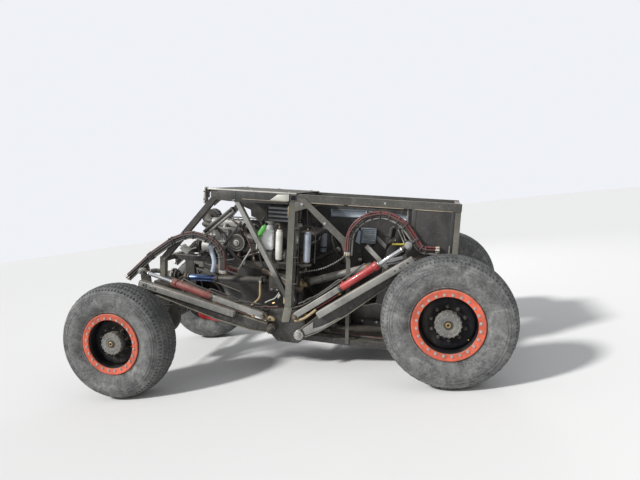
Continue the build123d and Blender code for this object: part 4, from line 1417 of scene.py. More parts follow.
def makeHood():
    parts, add = gathering()
    nothingSelected()
    bpy.ops.mesh.primitive_grid_add(x_subdivisions=28, y_subdivisions=24, size=1)
    sheet = bpy.context.object
    sheet.scale = (hoodSet["rear"] - hoodSet["front"], 0.95, 1)
    sheet.location = ((hoodSet["rear"] + hoodSet["front"]) / 2, 0, 1.7345)
    settle(sheet)
    # shallow dents and a slight crown
    vertsWhere(sheet, lambda co: abs(co.y) < 0.45 and hoodSet["front"] + 0.03 < co.x < hoodSet["rear"] - 0.03)
    bpy.ops.transform.vertex_random(offset=hoodSet["dent"], uniform=0.2, normal=0.9, seed=5)
    leaveEdit()
    vertsWhere(sheet, lambda co: abs(co.y) > 0.474)
    extruded((0, 0, 0))
    leaveEdit()
    useModifier(sheet, "SOLIDIFY", thickness=0.0035, offset=-1)
    add(dullSheet, smoothed(sheet, 30))
    for s in (-1, 1):
        edge = block((hoodSet["front"], s * 0.47, 1.7235), (hoodSet["rear"], s * 0.484, 1.7375))
        add(paleSheet, edge)
        skirt = plate([(-0.866, 1.628), (-0.74, 1.62), (-0.135, 1.624), (-0.135, 1.724), (-0.866, 1.724)], s * 0.471,
            s * 0.479, 0.0015)
        add(darkSteel, block((-0.678, s * 0.4785, 1.626), (-0.672, s * 0.4805, 1.722), 0.0008))
        add(castAlloy, tube([(-0.675, s * 0.482, 1.64), (-0.69, s * 0.486, 1.626), (-0.705, s * 0.482, 1.634)], 0.0032,
            8))
        add(steel["hood"], skirt)
        add(tanStrip, block((-0.6, s * 0.472, 1.648), (-0.15, s * 0.483, 1.652), 0.001))
        # a bright pale plate on the skirt by the post: painted sunlight, the lit triangle on the shaded skirt
        add(paleSheet, plate([(-0.32, 1.655), (-0.245, 1.712), (-0.13, 1.722), (-0.13, 1.656)], s * 0.48, s * 0.4825,
            0.0006))
        for u in (-0.9, -0.52, -0.14):
            ear = coat(zinc, rod((u, s * 0.43, 1.737), (u, s * 0.43, 1.742), 0.017, 20, 0.0012))
            slot = coat(castDark, block((u - 0.01, s * 0.43 - 0.0018, 1.7415), (u + 0.01, s * 0.43 + 0.0018, 1.7428),
                0))
            parts += [ear, slot]
    front = block((-0.969, -0.47, 1.6985), (-0.958, 0.47, 1.736))
    add(dullSheet, front)
    add(steel["hood"], *ribs((-0.815, -0.44, 1.716), (-0.785, 0.44, 1.7265), (0.19, 0, 0), 4, 0.002))
    # plate on a strut at the front left corner
    tag = block((-1.015, -0.47, 1.582), (-0.998, -0.382, 1.745), 0.004)
    add(paleSheet, tag)
    add(darkSteel, block((-1.01, -0.441, 1.642), (-0.962, -0.429, 1.735), 0.002))
    for z in (1.625, 1.7):
        add(hoseBlack, rod((-1.014, -0.448, z), (-1.021, -0.448, z), 0.01, 16, 0.001),
            rod((-1.006, -0.468, z), (-1.006, -0.4745, z), 0.006, 14, 0.001))
    return joined("hood", parts)


piece = inBody(makeHood())
done(piece, "chassis", "hood_panel")


# ribbed light bar held along the left front leg by two clips
def makeLightBar():
    a, b = Vector((-0.742, -0.36, 1.53)), Vector((-1.026, -0.36, 1.284))
    d = (b - a).normalized()
    n = Vector((-d.z, 0, d.x))
    length = (b - a).length
    parts, add = gathering(coat(darkSteel, bar(a, b, 0.05, 0.03)))
    for off in (-0.02, 0.02):
        add(lightSteel, bar(a + n * off, b + n * off, 0.062, 0.016))
    for k in range(21):
        at = a + d * (length * (0.03 + 0.94 * k / 20))
        add(castDark, bar(at, at + d * 0.005, 0.056, 0.026, 0.001))
    for end0, way in ((a, -1), (b, 1)):
        add(lightSteel, bar(end0 - d * 0.002, end0 + d * way * 0.01, 0.064, 0.058))
    for t in (0.08, 0.92):
        at = a + d * (length * t)
        leg = at + Vector((0, -0.055, 0.012))
        add(darkSteel, bar(at, leg, 0.024, 0.006, 0.001))
    add(hoseBlack, tube([b, b + d * 0.03, b + Vector((-0.01, 0.03, -0.06)), b + Vector((0.03, 0.1, -0.1)),
        b + Vector((0.1, 0.16, -0.06))], 0.006, 8))
    return joined("light_bar", parts)


piece = inBody(makeLightBar())
done(piece, "chassis")


# green bottle strapped in front of the tank
def makeBottle():
    shape = lathe([(0.0001, -0.1), (0.018, -0.1), (0.024, -0.094), (0.0262, -0.084), (0.0262, 0.046), (0.025, 0.058),
        (0.018, 0.074), (0.0125, 0.08), (0.012, 0.088)], 36)
    coat(steel["green"], shape)
    cap = lathe([(0.0135, 0.086), (0.016, 0.087), (0.0165, 0.09), (0.0165, 0.106), (0.015, 0.109), (0.0001, 0.109)], 24)
    coat(steel["black"], cap)
    ridge = [coat(steel["green"], lathe([(0.026, o), (0.0272, o + 0.002), (0.026, o + 0.004)], 36)) for o in (-0.07,
        0.02, 0.03)]
    bottle = joined("bottle", [shape, cap] + ridge)
    # upright with a lean to the rear
    bottle.data.transform(rotation(90, "X"))
    bottle.data.transform(rotation(31, "Y"))
    shifted(bottle, (-0.412, -0.43, 1.336))
    hold = coat(darkSteel, bar((-0.44, -0.425, 1.3), (-0.405, -0.425, 1.3), 0.075, 0.01, 0.002))
    return joined("green_bottle", [bottle, hold])


piece = inBody(makeBottle())
done(piece, "chassis")


# welds, bolts, tabs and small brackets on the frame
def sideBolt(u, y, w, radius, height):
    return shifted(boltHead(radius, height), (u, y, w))


def makeTrim():
    parts, add = gathering()
    face = -0.4712
    # weld beads round the main joints
    seams = [
        [(-0.132, 1.655), (-0.068, 1.655)], [(-0.132, 0.6), (-0.068, 0.6)], [(-1.452, 0.984), (-1.422, 0.958)],
        [(-0.905, 1.654), (-0.862, 1.625)],
        [(-0.735, 1.654), (-0.68, 1.654)], [(1.404, 1.655), (1.456, 1.655)], [(1.404, 1.138), (1.456, 1.138)],
        [(1.144, 1.082), (1.188, 1.138)],
        [(0.975, 0.373), (1.045, 0.373)], [(-1.425, 0.75), (-1.425, 0.8)], [(-0.39, 0.555), (-0.34, 0.605)],
    ]
    for line in seams:
        add(castDark, weld([(u, face, w) for u, w in line], 0.0042))
    # bolts that hold the upper and lower brace, and their plates
    for u, w in ((0.001, 1.635), (0.23, 1.468)):
        add(zinc, sideBolt(u, -0.4825, w, 0.0105, 0.008))
    add(steel["frame"],
        plate([(-0.07, 1.655), (0.085, 1.655), (0.05, 1.6), (-0.068, 1.56)], -0.4705, -0.4765, 0.001),
        plate([(-0.068, 0.64), (-0.03, 0.7), (-0.068, 0.8)], -0.452, -0.46, 0.001),
        plate([(-0.905, 1.652), (-0.8, 1.652), (-0.905, 1.56)], -0.445, -0.452, 0.001),
        plate([(1.405, 1.652), (1.3, 1.652), (1.405, 1.56)], -0.436, -0.443, 0.001))
    # dusty folded strip under the rear half of the roof rail
    for u0, u1 in ((0.02, 0.4), (0.44, 0.95), (1.05, 1.38)):
        add(tanStrip, block((u0, -0.455, 1.6485), (u1, -0.474, 1.6545), 0.001))
    # one bolt on the rail, and the open end of the cross tube at the post's head
    add(zinc, sideBolt(0.78, -0.4705, 1.69, 0.0085, 0.007))
    rim = block((-0.122, -0.4695, 1.662), (-0.06, -0.4745, 1.716))
    pressed(rim, lambda c, n, i: abs(n.y) > 0.95, 0.005, -0.003, True)
    add(steel["rail"], rim)
    # near black plate inside the open end: painted shade for the hollow of the tube
    add(steel["black"], block((-0.116, -0.469, 1.668), (-0.066, -0.4735, 1.71), 0.001))
    # hard lines clipped up the post and along the low rail
    for k, material in enumerate((hoseBlack, castDark)):
        u, y = 0.011 * k - 0.056, 0.462 - 0.004 * k
        line = [(u, -y, 0.52), (u, -y, 0.95), (u + 0.004, -y, 1.25), (u, -y + 0.007, 1.6)]
        add(material, tube(line, 0.004, 8))
    for w in (0.62, 0.86, 1.12, 1.4):
        add(hoseBlack, block((-0.066, -0.436, w - 0.006), (-0.022, -0.469, w + 0.006), 0.002))
    # gusset doubler with its bolts and the link from post to shaft guard
    add(darkSteel, plate([(-0.33, 0.585), (-0.12, 0.6), (0.04, 0.605), (0.055, 0.565), (-0.03, 0.53), (-0.33, 0.555)],
        -0.4705, -0.476, 0.001))
    for u, w in ((-0.3, 0.57), (0.0, 0.58), (-0.15, 0.3)):
        add(castDark, sideBolt(u, -0.476 if w > 0.5 else -0.4705, w, 0.01, 0.008))
    add(steel["frame"], plate([(-0.131, 0.625), (-0.052, 0.625), (-0.078, 0.48), (-0.158, 0.47)], -0.4765, -0.4795,
        0.001))
    add(rusty, bar((-0.117, -0.405, 0.848), (-0.117, -0.3, 0.835), 0.02, 0.034, 0.005),
        rod((-0.117, -0.3, 0.805), (-0.117, -0.3, 0.866), 0.022, 24, 0.002))
    add(lightSteel, rod((-0.117, -0.3, 0.835), (-0.34, -0.275, 0.89), 0.011, 14, 0.001))
    # short stays: rod by the tank, bar to the rear axle, upright wire by the box
    add(lightSteel, rod((-0.523, -0.395, 1.155), (-0.654, -0.395, 0.937), 0.0085, 14, 0.001),
        bar((0.62, -0.395, 1.278), (0.83, -0.395, 1.085), 0.008, 0.042, 0.002),
        rod((0.987, -0.44, 1.66), (1.0, -0.44, 1.44), 0.006, 12))
    # dark bar and pale tubes about the engine bay, bent drain pipe
    add(darkSteel, bar((-0.65, -0.36, 1.414), (-0.83, -0.36, 1.166), 0.018, 0.022, 0.003))
    add(tanCast, tube([(-0.404, -0.432, 0.85), (-0.402, -0.432, 0.76), (-0.398, -0.432, 0.69), (-0.425, -0.432, 0.648),
        (-0.515, -0.42, 0.566)], 0.011, 12))
    add(zinc, rod((-0.404, -0.432, 0.852), (-0.404, -0.432, 0.832), 0.0145, 6, 0.001))
    add(lightSteel, bar((0.42, -0.4725, 1.33), (0.476, -0.4725, 1.11), 0.005, 0.036, 0.001),
        bar((1.066, -0.448, 1.424), (1.15, -0.448, 1.468), 0.014, 0.03, 0.003))
    # small reservoir on the foot of the pale tube
    add(castDark, rod((0.46, -0.372, 0.956), (0.46, -0.372, 1.012), 0.02, 24, 0.002))
    add(steel["white"], rod((0.46, -0.372, 1.01), (0.46, -0.372, 1.034), 0.0215, 24, 0.003))
    add(darkSteel, bar((0.46, -0.388, 0.985), (0.478, -0.44, 1.11), 0.012, 0.012, 0.002))
    # tan stop on the front of the post, loose lines by the ram foot
    add(tanCast, block((-0.1425, -0.43, 1.505), (-0.131, -0.462, 1.605)),
        block((-0.15, -0.425, 0.655), (-0.131, -0.462, 0.735), 0.004))
    add(hoseMaroon, tube([(-0.385, -0.455, 0.59), (-0.33, -0.462, 0.612), (-0.27, -0.458, 0.6), (-0.205, -0.45, 0.618)],
        0.009))
    add(castAlloy,
        tube([(-0.34, -0.448, 0.64), (-0.29, -0.45, 0.672), (-0.235, -0.446, 0.69), (-0.2, -0.44, 0.755)], 0.006, 8),
        rod((-0.21, -0.438, 0.7), (-0.19, -0.438, 0.735), 0.012, 6, 0.001))
    add(brass, rod((-0.262, -0.446, 0.64), (-0.235, -0.446, 0.652), 0.009, 6, 0.001))
    # end caps on the open rails
    for w0, w1 in ((1.657, 1.723), (1.084, 1.136)):
        add(hoseBlack, block((1.4545, -0.412, w0), (1.4585, -0.468, w1)))
    return bothSides("frame_trim", joined("trim", parts))


piece = inBody(makeTrim())
done(piece, "chassis")


# rear box: folded edges, hinges, seams, rivets, plugs and a handle
def makeBoxTrim():
    parts, add = gathering()
    for s in (-1, 1):
        y = s * 0.4665
        for u, w, count in ((1.385, 1.16, 4), (1.05, 1.36, 3)):
            parts += boltLine((u, y, w), (u, y, 1.64), count, 0.0046, (0, s, 0), castDark)
        add(steel["box"], block((1.028, s * 0.4655, 1.34), (1.064, s * 0.47, 1.655), 0.0015),
            block((1.372, s * 0.4655, 1.14), (1.4, s * 0.47, 1.655), 0.0015))
        add(steel["frame"], rod((1.379, s * 0.474, 1.15), (1.379, s * 0.474, 1.345), 0.0065, 12, 0.001))
    for w in (1.62, 1.37):
        parts += boltLine((1.4055, -0.42, w), (1.4055, 0.42, w), 12, 0.0052, (1, 0, 0), zinc)
    parts += boltLine((1.06, -0.43, 1.6555), (1.06, 0.43, 1.6555), 12, 0.0052, (0, 0, 1), zinc)
    lid = block((1.075, -0.4, 1.655), (1.375, 0.4, 1.664))
    add(steel["box"], lid)
    add(zinc, *ribs((1.368, -0.27, 1.66), (1.385, -0.23, 1.668), (0, 0.5, 0), 2, 0.001))
    add(hoseBlack, tube([(1.375, -0.05, 1.664), (1.375, -0.05, 1.68), (1.375, 0.0, 1.684), (1.375, 0.05, 1.68),
        (1.375, 0.05, 1.664)], 0.006))
    for y in (-0.2, 0.2):
        add(darkSteel, ventCover((1.412, y, 1.5), 0.075))
    return joined("rear_box_trim", parts)


def ventCover(place, radius):
    # a low round vent cover that looks to the rear
    shape = lathe([(0.0001, -0.006), (radius * 0.3, -0.006), (radius * 0.34, -0.002), (radius * 0.62, -0.002),
        (radius * 0.66, -0.007), (radius * 0.92, -0.007), (radius, -0.003), (radius, 0.006), (0.0001, 0.006)], 36)
    return shifted(shape, place, rotation(90, "Z"))


piece = inBody(makeBoxTrim())
done(piece, "chassis")
print("hood, trim and box made")


# seat: shell, pressed pads, belts
def fabric(name, base, weave=1400.0, dustiness=0.25):
    f = Finish(name)
    c = f.spot()
    blot = f.noise(8, 4, 0.6)
    a = f.node("ShaderNodeTexWave", {"bands_direction": "X"}, {"Vector": c, "Scale": weave / 6.28, "Distortion": 0.4})
    b = f.node("ShaderNodeTexWave", {"bands_direction": "Z"}, {"Vector": c, "Scale": weave / 6.28, "Distortion": 0.4})
    thread = a * 0.5 + b * 0.5
    colour = f.mottled(blot, base, 0.7, 1.35)
    colour = f.blend(thread * 0.35, colour, shade(base, 0.4))
    up = f.ramp(f.upward(), (0.0, 0.0), (0.9, 1.0))
    amount = f.ramp(blot, (0.4, 0.2), (0.65, 1.0)) * (0.3 + up * 0.8) * dustiness
    colour = f.blend(amount, colour, dust)
    return f.finish(Base_Color=colour, Roughness=0.88, Normal=f.bump(thread + f.noise(30, 4) * 0.6, 0.35, 0.0008))


def leather(name, base):
    f = Finish(name)
    grain = f.node("ShaderNodeTexVoronoi", {"feature": "DISTANCE_TO_EDGE"}, {"Vector": f.spot(), "Scale": 420.0})
    blot = f.noise(12, 4, 0.6)
    colour = f.mottled(blot, base, 0.65, 1.4)
    up = f.ramp(f.upward(), (0.0, 0.0), (0.9, 1.0))
    colour = f.blend(up * 0.22, colour, dust)
    return f.finish(Base_Color=colour, Roughness=0.55 + blot * 0.15,
        Normal=f.bump(f.ramp(grain, (0.0, 0.0), (0.12, 1.0)), 0.3, 0.0006))


seatCloth = fabric("seatCloth", (0.03, 0.03, 0.033))
seatGrey = fabric("seamThread", (0.16, 0.16, 0.165))
webbing = fabric("webbing", (0.055, 0.055, 0.06), 2600.0, 0.35)
wheelGrip = leather("wheelGrip", (0.02, 0.019, 0.018))
seatShell = paint("seatShell", (0.014, 0.014, 0.015), 0.3, 0.15, 0.4)
seatSet = {"y": 0.19, "voxel": 0.006, "pressure": 4.0, "frames": 20, "cap": 0.011}


def plumped(obj):
    # a pad that is blown up a little as cloth, with its travel capped
    pick(obj)
    obj.data.remesh_voxel_size = seatSet["voxel"]
    bpy.ops.object.voxel_remesh()
    before = [v.co.copy() for v in obj.data.vertices]
    cloth = obj.modifiers.new("Cloth", "CLOTH")
    cloth.settings.use_pressure = True
    cloth.settings.uniform_pressure_force = seatSet["pressure"]
    cloth.settings.effector_weights.gravity = 0
    cloth.point_cache.frame_start, cloth.point_cache.frame_end = 1, seatSet["frames"]
    for f in range(1, seatSet["frames"] + 1):
        bpy.context.scene.frame_set(f)
    pick(obj)
    bpy.ops.object.modifier_apply(modifier=cloth.name)
    bpy.context.scene.frame_set(1)
    for v, old in zip(obj.data.vertices, before):
        d = v.co - old
        if d.length > seatSet["cap"]:
            v.co = old + d.normalized() * seatSet["cap"]
    return obj


def channels(obj, axis, places, width, depth):
    # sewn channels pressed into a pad
    for place in places:
        vertsWhere(obj, lambda co: abs(co[axis] - place) < width)
        bpy.ops.transform.shrink_fatten(value=-depth)
        leaveEdit()
    return obj


def makeSeat():
    y = seatSet["y"]
    parts, add = gathering(coat(seatShell, plate([(0.745, 0.5), (0.83, 0.482), (0.925, 1.38), (0.905, 1.448),
        (0.88, 1.448), (0.87, 1.38)], y - 0.186, y + 0.186, 0.01, 3)))
    add(seatShell, block((0.332, y - 0.188, 0.472), (0.8, y + 0.188, 0.512), 0.012, 3))
    for s in (-1, 1):
        y0, y1 = sorted((y + s * 0.158, y + s * 0.194))
        add(seatShell,
            plate([(0.332, 0.474), (0.8, 0.474), (0.83, 0.64), (0.7, 0.64), (0.6, 0.61), (0.37, 0.6), (0.335, 0.57)],
                y0, y1, 0.01, 3),
            plate([(0.7, 0.64), (0.8, 0.64), (0.885, 1.25), (0.845, 1.3), (0.78, 1.2)], y0, y1, 0.01, 3))
        add(darkSteel, block((0.382, y + s * 0.135 - 0.012, 0.386), (0.758, y + s * 0.135 + 0.012, 0.474)))
        parts += boltLine((0.42, y + s * 0.147, 0.43), (0.72, y + s * 0.147, 0.43), 3, 0.009, (0, s, 0), zinc)
    for s in (-1, 1):
        add(zinc, block((0.838, y + s * 0.075 - 0.032, 1.262), (0.876, y + s * 0.075 + 0.032, 1.282), 0.004))
    return joined("seat_shell", parts)


def makePads():
    y = seatSet["y"]
    base = block((0.352, y - 0.145, 0.52), (0.712, y + 0.145, 0.562), 0.016, 3)
    back = block((-0.155, y - 0.15, 0.01), (-0.118, y + 0.15, 0.64), 0.014, 3)
    head = block((-0.152, y - 0.12, 0.668), (-0.118, y + 0.12, 0.79), 0.014, 3)
    lean = Matrix.Translation((0.865, 0, 0.625)) @ rotation(6.0, "Y")
    pads = []
    for obj, name, axis, places in ((base, "seat_base_pad", 0, (0.44, 0.53, 0.62)),
            (back, "seat_back_pad", 2, (0.13, 0.25, 0.37, 0.49)), (head, "seat_head_pad", 2, ())):
        obj.name = name
        plumped(obj)
        channels(obj, axis, places, 0.0042, 0.0062)
        useModifier(obj, "SUBSURF", levels=1, render_levels=1)
        if name != "seat_base_pad":
            obj.data.transform(lean)
        smoothed(obj, 70)
        pads.append(coat(seatCloth, obj))
    return pads


seat = inBody(makeSeat())
done(seat, "chassis", "seat")
for pad in makePads():
    inBody(pad)
    done(pad, "chassis")
print("seat made")


def strap(points, width, thick=0.0022):
    # flat webbing through points, its width along Y
    obj = drawn([(x, y - width / 2, z) for x, y, z in points])
    editing(obj)
    extruded((0, width, 0))
    outward()
    useModifier(obj, "SUBSURF", levels=2, render_levels=2)
    useModifier(obj, "SOLIDIFY", thickness=thick, offset=0)
    return smoothed(obj, 50)


def makeBelts():
    y = seatSet["y"]
    parts, add = gathering()
    for s in (-1, 1):
        at = y + s * 0.075
        add(webbing, strap([(0.905, at, 1.24), (0.872, at, 1.283), (0.8, at, 1.276), (0.77, at, 1.2), (0.735, at, 1.05),
            (0.7, at - s * 0.01, 0.88), (0.665, at - s * 0.025, 0.74), (0.62, at - s * 0.045, 0.645)], 0.048))
        add(zinc, block((0.722, at - 0.029, 1.015), (0.736, at + 0.029, 1.05)))
        add(webbing, strap([(0.66, y + s * 0.15, 0.575), (0.64, y + s * 0.125, 0.615), (0.625, y + s * 0.085, 0.633),
            (0.61, y + s * 0.045, 0.64)], 0.046))
    buckle = lathe([(0.0001, -0.013), (0.026, -0.013), (0.031, -0.009), (0.031, 0.009), (0.0001, 0.011)], 32)
    add(zinc, shifted(buckle, (0.612, y, 0.652), rotation(-60, "X")))
    return joined("harness_belts", parts)


piece = inBody(makeBelts())
done(piece, "chassis")


# steering wheel on its column
def makeHandWheel():
    nothingSelected()
    bpy.ops.mesh.primitive_torus_add(major_radius=0.158, minor_radius=0.013, major_segments=120, minor_segments=18,
        rotation=(math.radians(90), 0, 0))
    rim = settle(bpy.context.object)
    pressed(rim, lambda c, n, i: c.y > 0.004 and int((math.atan2(c.z, c.x) + pi) * 120 / tau) % 3 != 0, 0.0014, 0.0012)
    parts, add = gathering(coat(wheelGrip, smoothed(rim, 50)))
    seam = lathe([(0.1455, 0.0), (0.1448, 0.0016), (0.1455, 0.0032)], closed=True)
    add(seatGrey, seam)
    for k in range(3):
        a = math.radians(90 + 120 * k)
        spoke = plate([(0.026, -0.019), (0.148, -0.014), (0.148, 0.014), (0.026, 0.019)], -0.003, 0.003, 0.0012)
        pressed(spoke, lambda c, n, i: abs(n.y) > 0.9, 0.0065, -0.0012, True)
        spoke.data.transform(Matrix.Rotation(-a, 4, "Y"))
        add(darkSteel, spoke)
    hub = lathe([(0.0001, -0.02), (0.02, -0.02), (0.023, -0.017), (0.03, -0.006), (0.032, 0.0), (0.032, 0.012),
        (0.026, 0.016), (0.026, 0.022), (0.0105, 0.022)], 40)
    add(castAlloy, hub)
    screws = ringOf(shifted(coat(zinc, boltHead(0.004, 0.003, False)), (0.026, -0.0085, 0)), 6)
    wheel = joined("hand_wheel", parts + screws)
    axis = Vector((0.275, 0, 0.14)).normalized()
    turn = facing(axis)
    return shifted(wheel, (0.2464, 0.19, 1.1359), turn)


piece = inBody(makeHandWheel())
done(piece, "hand_wheel", "steering_wheel")


# cab fittings: dials, switches, lever, cases and lines
def makeCab():
    parts, add = gathering()
    face = Vector((0.12, 0, -0.047)).normalized()
    turn = facing(face)
    for k, y in enumerate((0.085, 0.155, 0.225, 0.295)):
        dial = lathe([(0.0001, 0.006), (0.0225, 0.006), (0.0225, 0.001), (0.0255, -0.002), (0.0285, -0.002),
            (0.03, 0.001), (0.03, 0.004)], 36)
        add(zinc if k % 2 else steel["black"], shifted(dial, Vector((0.042, y, 1.249)), turn))
        needle = block((-0.0012, 0.003, -0.004), (0.0012, 0.0045, 0.018), 0.0004)
        needle.data.transform(Matrix.Rotation(0.6 - k * 0.5, 4, "Y"))
        add(steel["orange"], shifted(needle, Vector((0.042, y, 1.249)), turn))
    for k in range(7):
        y = -0.24 + 0.045 * k
        at = Vector((0.036, y, 1.236))
        add(zinc, rod(at, at + face * 0.008, 0.0065, 6),
            rod(at + face * 0.006, at + face * 0.024 + Vector((0, 0, 0.01)), 0.0026, 10, 0, 0.0036))
    # gear lever by the seat, with its gate
    add(darkSteel, block((0.3, -0.055, 0.385), (0.46, 0.0, 0.52), 0.008))
    add(zinc, rod((0.38, -0.028, 0.515), (0.42, -0.028, 0.72), 0.007, 14))
    add(hoseBlack, ball((0.423, -0.028, 0.735), 0.022))
    add(zinc, rod((0.34, -0.028, 0.515), (0.33, -0.028, 0.66), 0.006, 14))
    add(steel["black"], ball((0.329, -0.028, 0.672), 0.016))
    # pedals
    for y in (0.12, 0.22):
        add(darkSteel, rod((-0.045, y, 0.74), (0.055, y, 0.56), 0.007, 12))
        add(zinc, bar((0.045, y, 0.595), (0.075, y, 0.52), 0.055, 0.007, 0.002))
    # case on the right brace, and the pale panel under the right rail
    case = block((0.455, 0.335, 1.205), (0.625, 0.402, 1.372), 0.008)
    pressed(case, lambda c, n, i: n.y < -0.95, 0.01, -0.008)
    add(steel["blue"], smoothed(case))
    for k in range(7):
        w = 1.225 + 0.02 * k
        add(castAlloy if k in (1, 4) else steel["blue"], block((0.49 + 0.01 * (k % 3), 0.334, w - 0.004),
            (0.612, 0.345, w + 0.004), 0.0015))
    add(steel["sky"], plate([(0.4, 1.215), (0.45, 1.19), (0.452, 1.33), (0.43, 1.345)], 0.345, 0.352))
    add(castDark, block((0.5, 0.352, 1.165), (0.59, 0.395, 1.208), 0.006))
    add(darkSteel, block((0.44, 0.398, 1.25), (0.5, 0.47, 1.27), 0.002))
    panel = plate([(0.1, 1.466), (0.5, 1.476), (0.5, 1.56), (0.1, 1.552)], 0.396, 0.402)
    pressed(panel, lambda c, n, i: n.y < -0.9, 0.012, -0.002)
    other = plate([(0.52, 1.48), (0.94, 1.47), (0.94, 1.535), (0.52, 1.556)], 0.396, 0.402)
    pressed(other, lambda c, n, i: n.y < -0.9, 0.01, -0.002)
    parts += coat(steel["blue"], panel, other)
    for u in (0.09, 0.35, 0.6, 0.88):
        add(darkSteel, block((u - 0.015, 0.403, 1.46), (u + 0.015, 0.412, 1.664), 0.001))
    # dark sheets that close the right side of the cab and of the engine bay, with pressed ribs: near black, painted
    # shade for the far side, which lies in shadow
    flank = plate([(0.11, 1.0), (0.11, 1.235), (0.468, 1.235), (0.468, 0.405), (1.02, 0.405), (1.02, 1.645),
        (-0.3, 1.645), (-0.3, 1.0)], 0.4085, 0.4098, 0.0004)
    guard = plate([(-0.98, 1.03), (-0.16, 1.03), (-0.16, 0.33), (-0.4, 0.322), (-0.88, 0.352), (-0.98, 0.7)], 0.388,
        0.392, 0.001)
    parts += coat(seatShell, flank, guard)
    for w in (0.6, 0.8, 1.0, 1.3):
        add(seatShell, block((0.52, 0.4035, w - 0.01), (0.98, 0.4092, w + 0.01), 0.002))
    add(seatShell, *ribs((-0.68, 0.383, 0.65), (-0.22, 0.389, 0.67), (0, 0, 0.2), 2, 0.002))
    baffle = plate([(-0.99, 1.652), (-0.31, 1.652), (-0.31, 1.045), (-0.585, 1.045), (-0.6, 1.332), (-0.7, 1.345),
        (-0.78, 1.392), (-0.832, 1.408), (-0.84, 1.48), (-0.91, 1.505), (-0.99, 1.53)], 0.4, 0.404, 0.001)
    add(seatShell, baffle)
    for y, z in ((0.3, 1.6), (0.34, 1.575), (0.37, 1.545)):
        add(hoseBlack, tube(level(y, (-0.66, z + 0.03), (-0.52, z - 0.004), (-0.38, z - 0.022), (-0.22, z - 0.03)),
            0.013))
    for u in (-0.9, -0.4, -0.2):
        add(darkSteel, block((u - 0.015, 0.391, 0.93), (u + 0.015, 0.412, 0.97), 0.001))
    # finned heat sink on the wall, and the strapped reservoir beside it
    add(rusty, *ribs((-0.05, -0.255, 0.99), (-0.012, -0.251, 1.16), (0, 0.013, 0), 9, 0.001),
        block((-0.05, -0.26, 0.985), (-0.04, -0.142, 1.165), 0.002))
    pump = lathe([(0.0001, -0.085), (0.03, -0.085), (0.04, -0.078), (0.042, -0.04), (0.042, 0.06), (0.034, 0.08),
        (0.0001, 0.085)], 36)
    add(castDark, shifted(pump, (0.28, -0.335, 0.466), rotation(90, "Z")))
    add(darkSteel, block((0.24, -0.38, 0.386), (0.32, -0.29, 0.428)))
    # cream relay case that hangs in front of the engine
    relay = block((-0.048, -0.03, -0.03), (0.048, 0.03, 0.03), 0.007, 3)
    pressed(relay, lambda c, n, i: abs(n.y) > 0.95, 0.006, -0.003, True)
    add(steel["white"], shifted(smoothed(relay), (-1.262, -0.34, 1.088), rotation(38, "Y")))
    add(hoseBlack, tube([(-1.225, -0.34, 1.06), (-1.18, -0.33, 1.03), (-1.12, -0.28, 1.04), (-1.08, -0.2, 1.08)],
        0.009))
    add(darkSteel, bar((-1.3, -0.34, 1.118), (-1.34, -0.41, 1.14), 0.016, 0.006, 0.001))
    # beaded cable, lines along the floor and wall, loom under the rail
    cable = [(-0.045, -0.3, 0.945), (0.014, -0.31, 0.962), (0.12, -0.32, 0.985), (0.22, -0.335, 1.02),
        (0.32, -0.36, 1.08), (0.398, -0.395, 1.139), (0.44, -0.43, 1.19)]
    add(hoseBlack, tube(cable, 0.007, 8))
    for k in range(26):
        t = k / 25 * (len(cable) - 1)
        first = int(min(t, len(cable) - 2))
        a, b = Vector(cable[first]), Vector(cable[first + 1])
        at = a.lerp(b, t - first)
        d = (b - a).normalized()
        add(castAlloy, rod(at, at + d * 0.007, 0.0088, 12, 0.001))
    lines = [
        ([(-0.045, -0.26, 0.6), (0.05, -0.33, 0.42), (0.3, -0.395, 0.395), (0.95, -0.395, 0.395)], 0.009, hoseBlack),
        ([(-0.045, -0.22, 0.62), (0.05, -0.29, 0.43), (0.3, -0.37, 0.395), (0.95, -0.37, 0.395)], 0.006, hoseRed),
        ([(-0.045, -0.28, 1.1), (0.02, -0.31, 1.16), (0.04, -0.34, 1.34), (0.03, -0.39, 1.6)], 0.006, hoseBlack),
        ([(-0.045, -0.1, 1.3), (0.03, -0.14, 1.42), (0.05, -0.28, 1.56), (0.1, -0.395, 1.642), (0.6, -0.398, 1.642),
            (1.02, -0.398, 1.64)], 0.008, hoseBlack),
        (level(-0.3, (0.853, 1.301), (0.9, 1.303), (0.99, 1.31), (1.06, 1.345)), 0.0095, steel["yellow"]),
        (level(-0.3, (0.63, 1.25), (0.655, 1.215), (0.68, 1.19), (0.712, 1.16)), 0.0065, tanCast),
        (level(-0.31, (0.654, 1.255), (0.678, 1.222), (0.703, 1.197), (0.735, 1.166)), 0.0055, tanCast),
        (level(-0.34, (-0.985, 1.16), (-0.972, 1.09), (-0.94, 1.01), (-0.938, 0.94), (-0.955, 0.875)), 0.024,
            steel["sky"]),
        ([(-0.985, -0.34, 1.15), (-0.975, -0.3, 1.21), (-0.955, -0.24, 1.25)], 0.012, hoseBlack),
        (level(-0.3, (0.899, 1.45), (0.94, 1.37), (0.975, 1.303)), 0.006, steel["white"]),
        (level(-0.3, (0.93, 1.46), (0.96, 1.38), (1.0, 1.31)), 0.006, steel["white"]),
        (level(-0.3, (0.89, 1.452), (0.95, 1.456), (1.06, 1.46)), 0.0085, darkSteel),
    ]
    for line, r, material in lines:
        add(material, tube(line, r))
    return joined("cab_fittings", parts)


piece = inBody(makeCab())
done(piece, "chassis")
print("cab made")


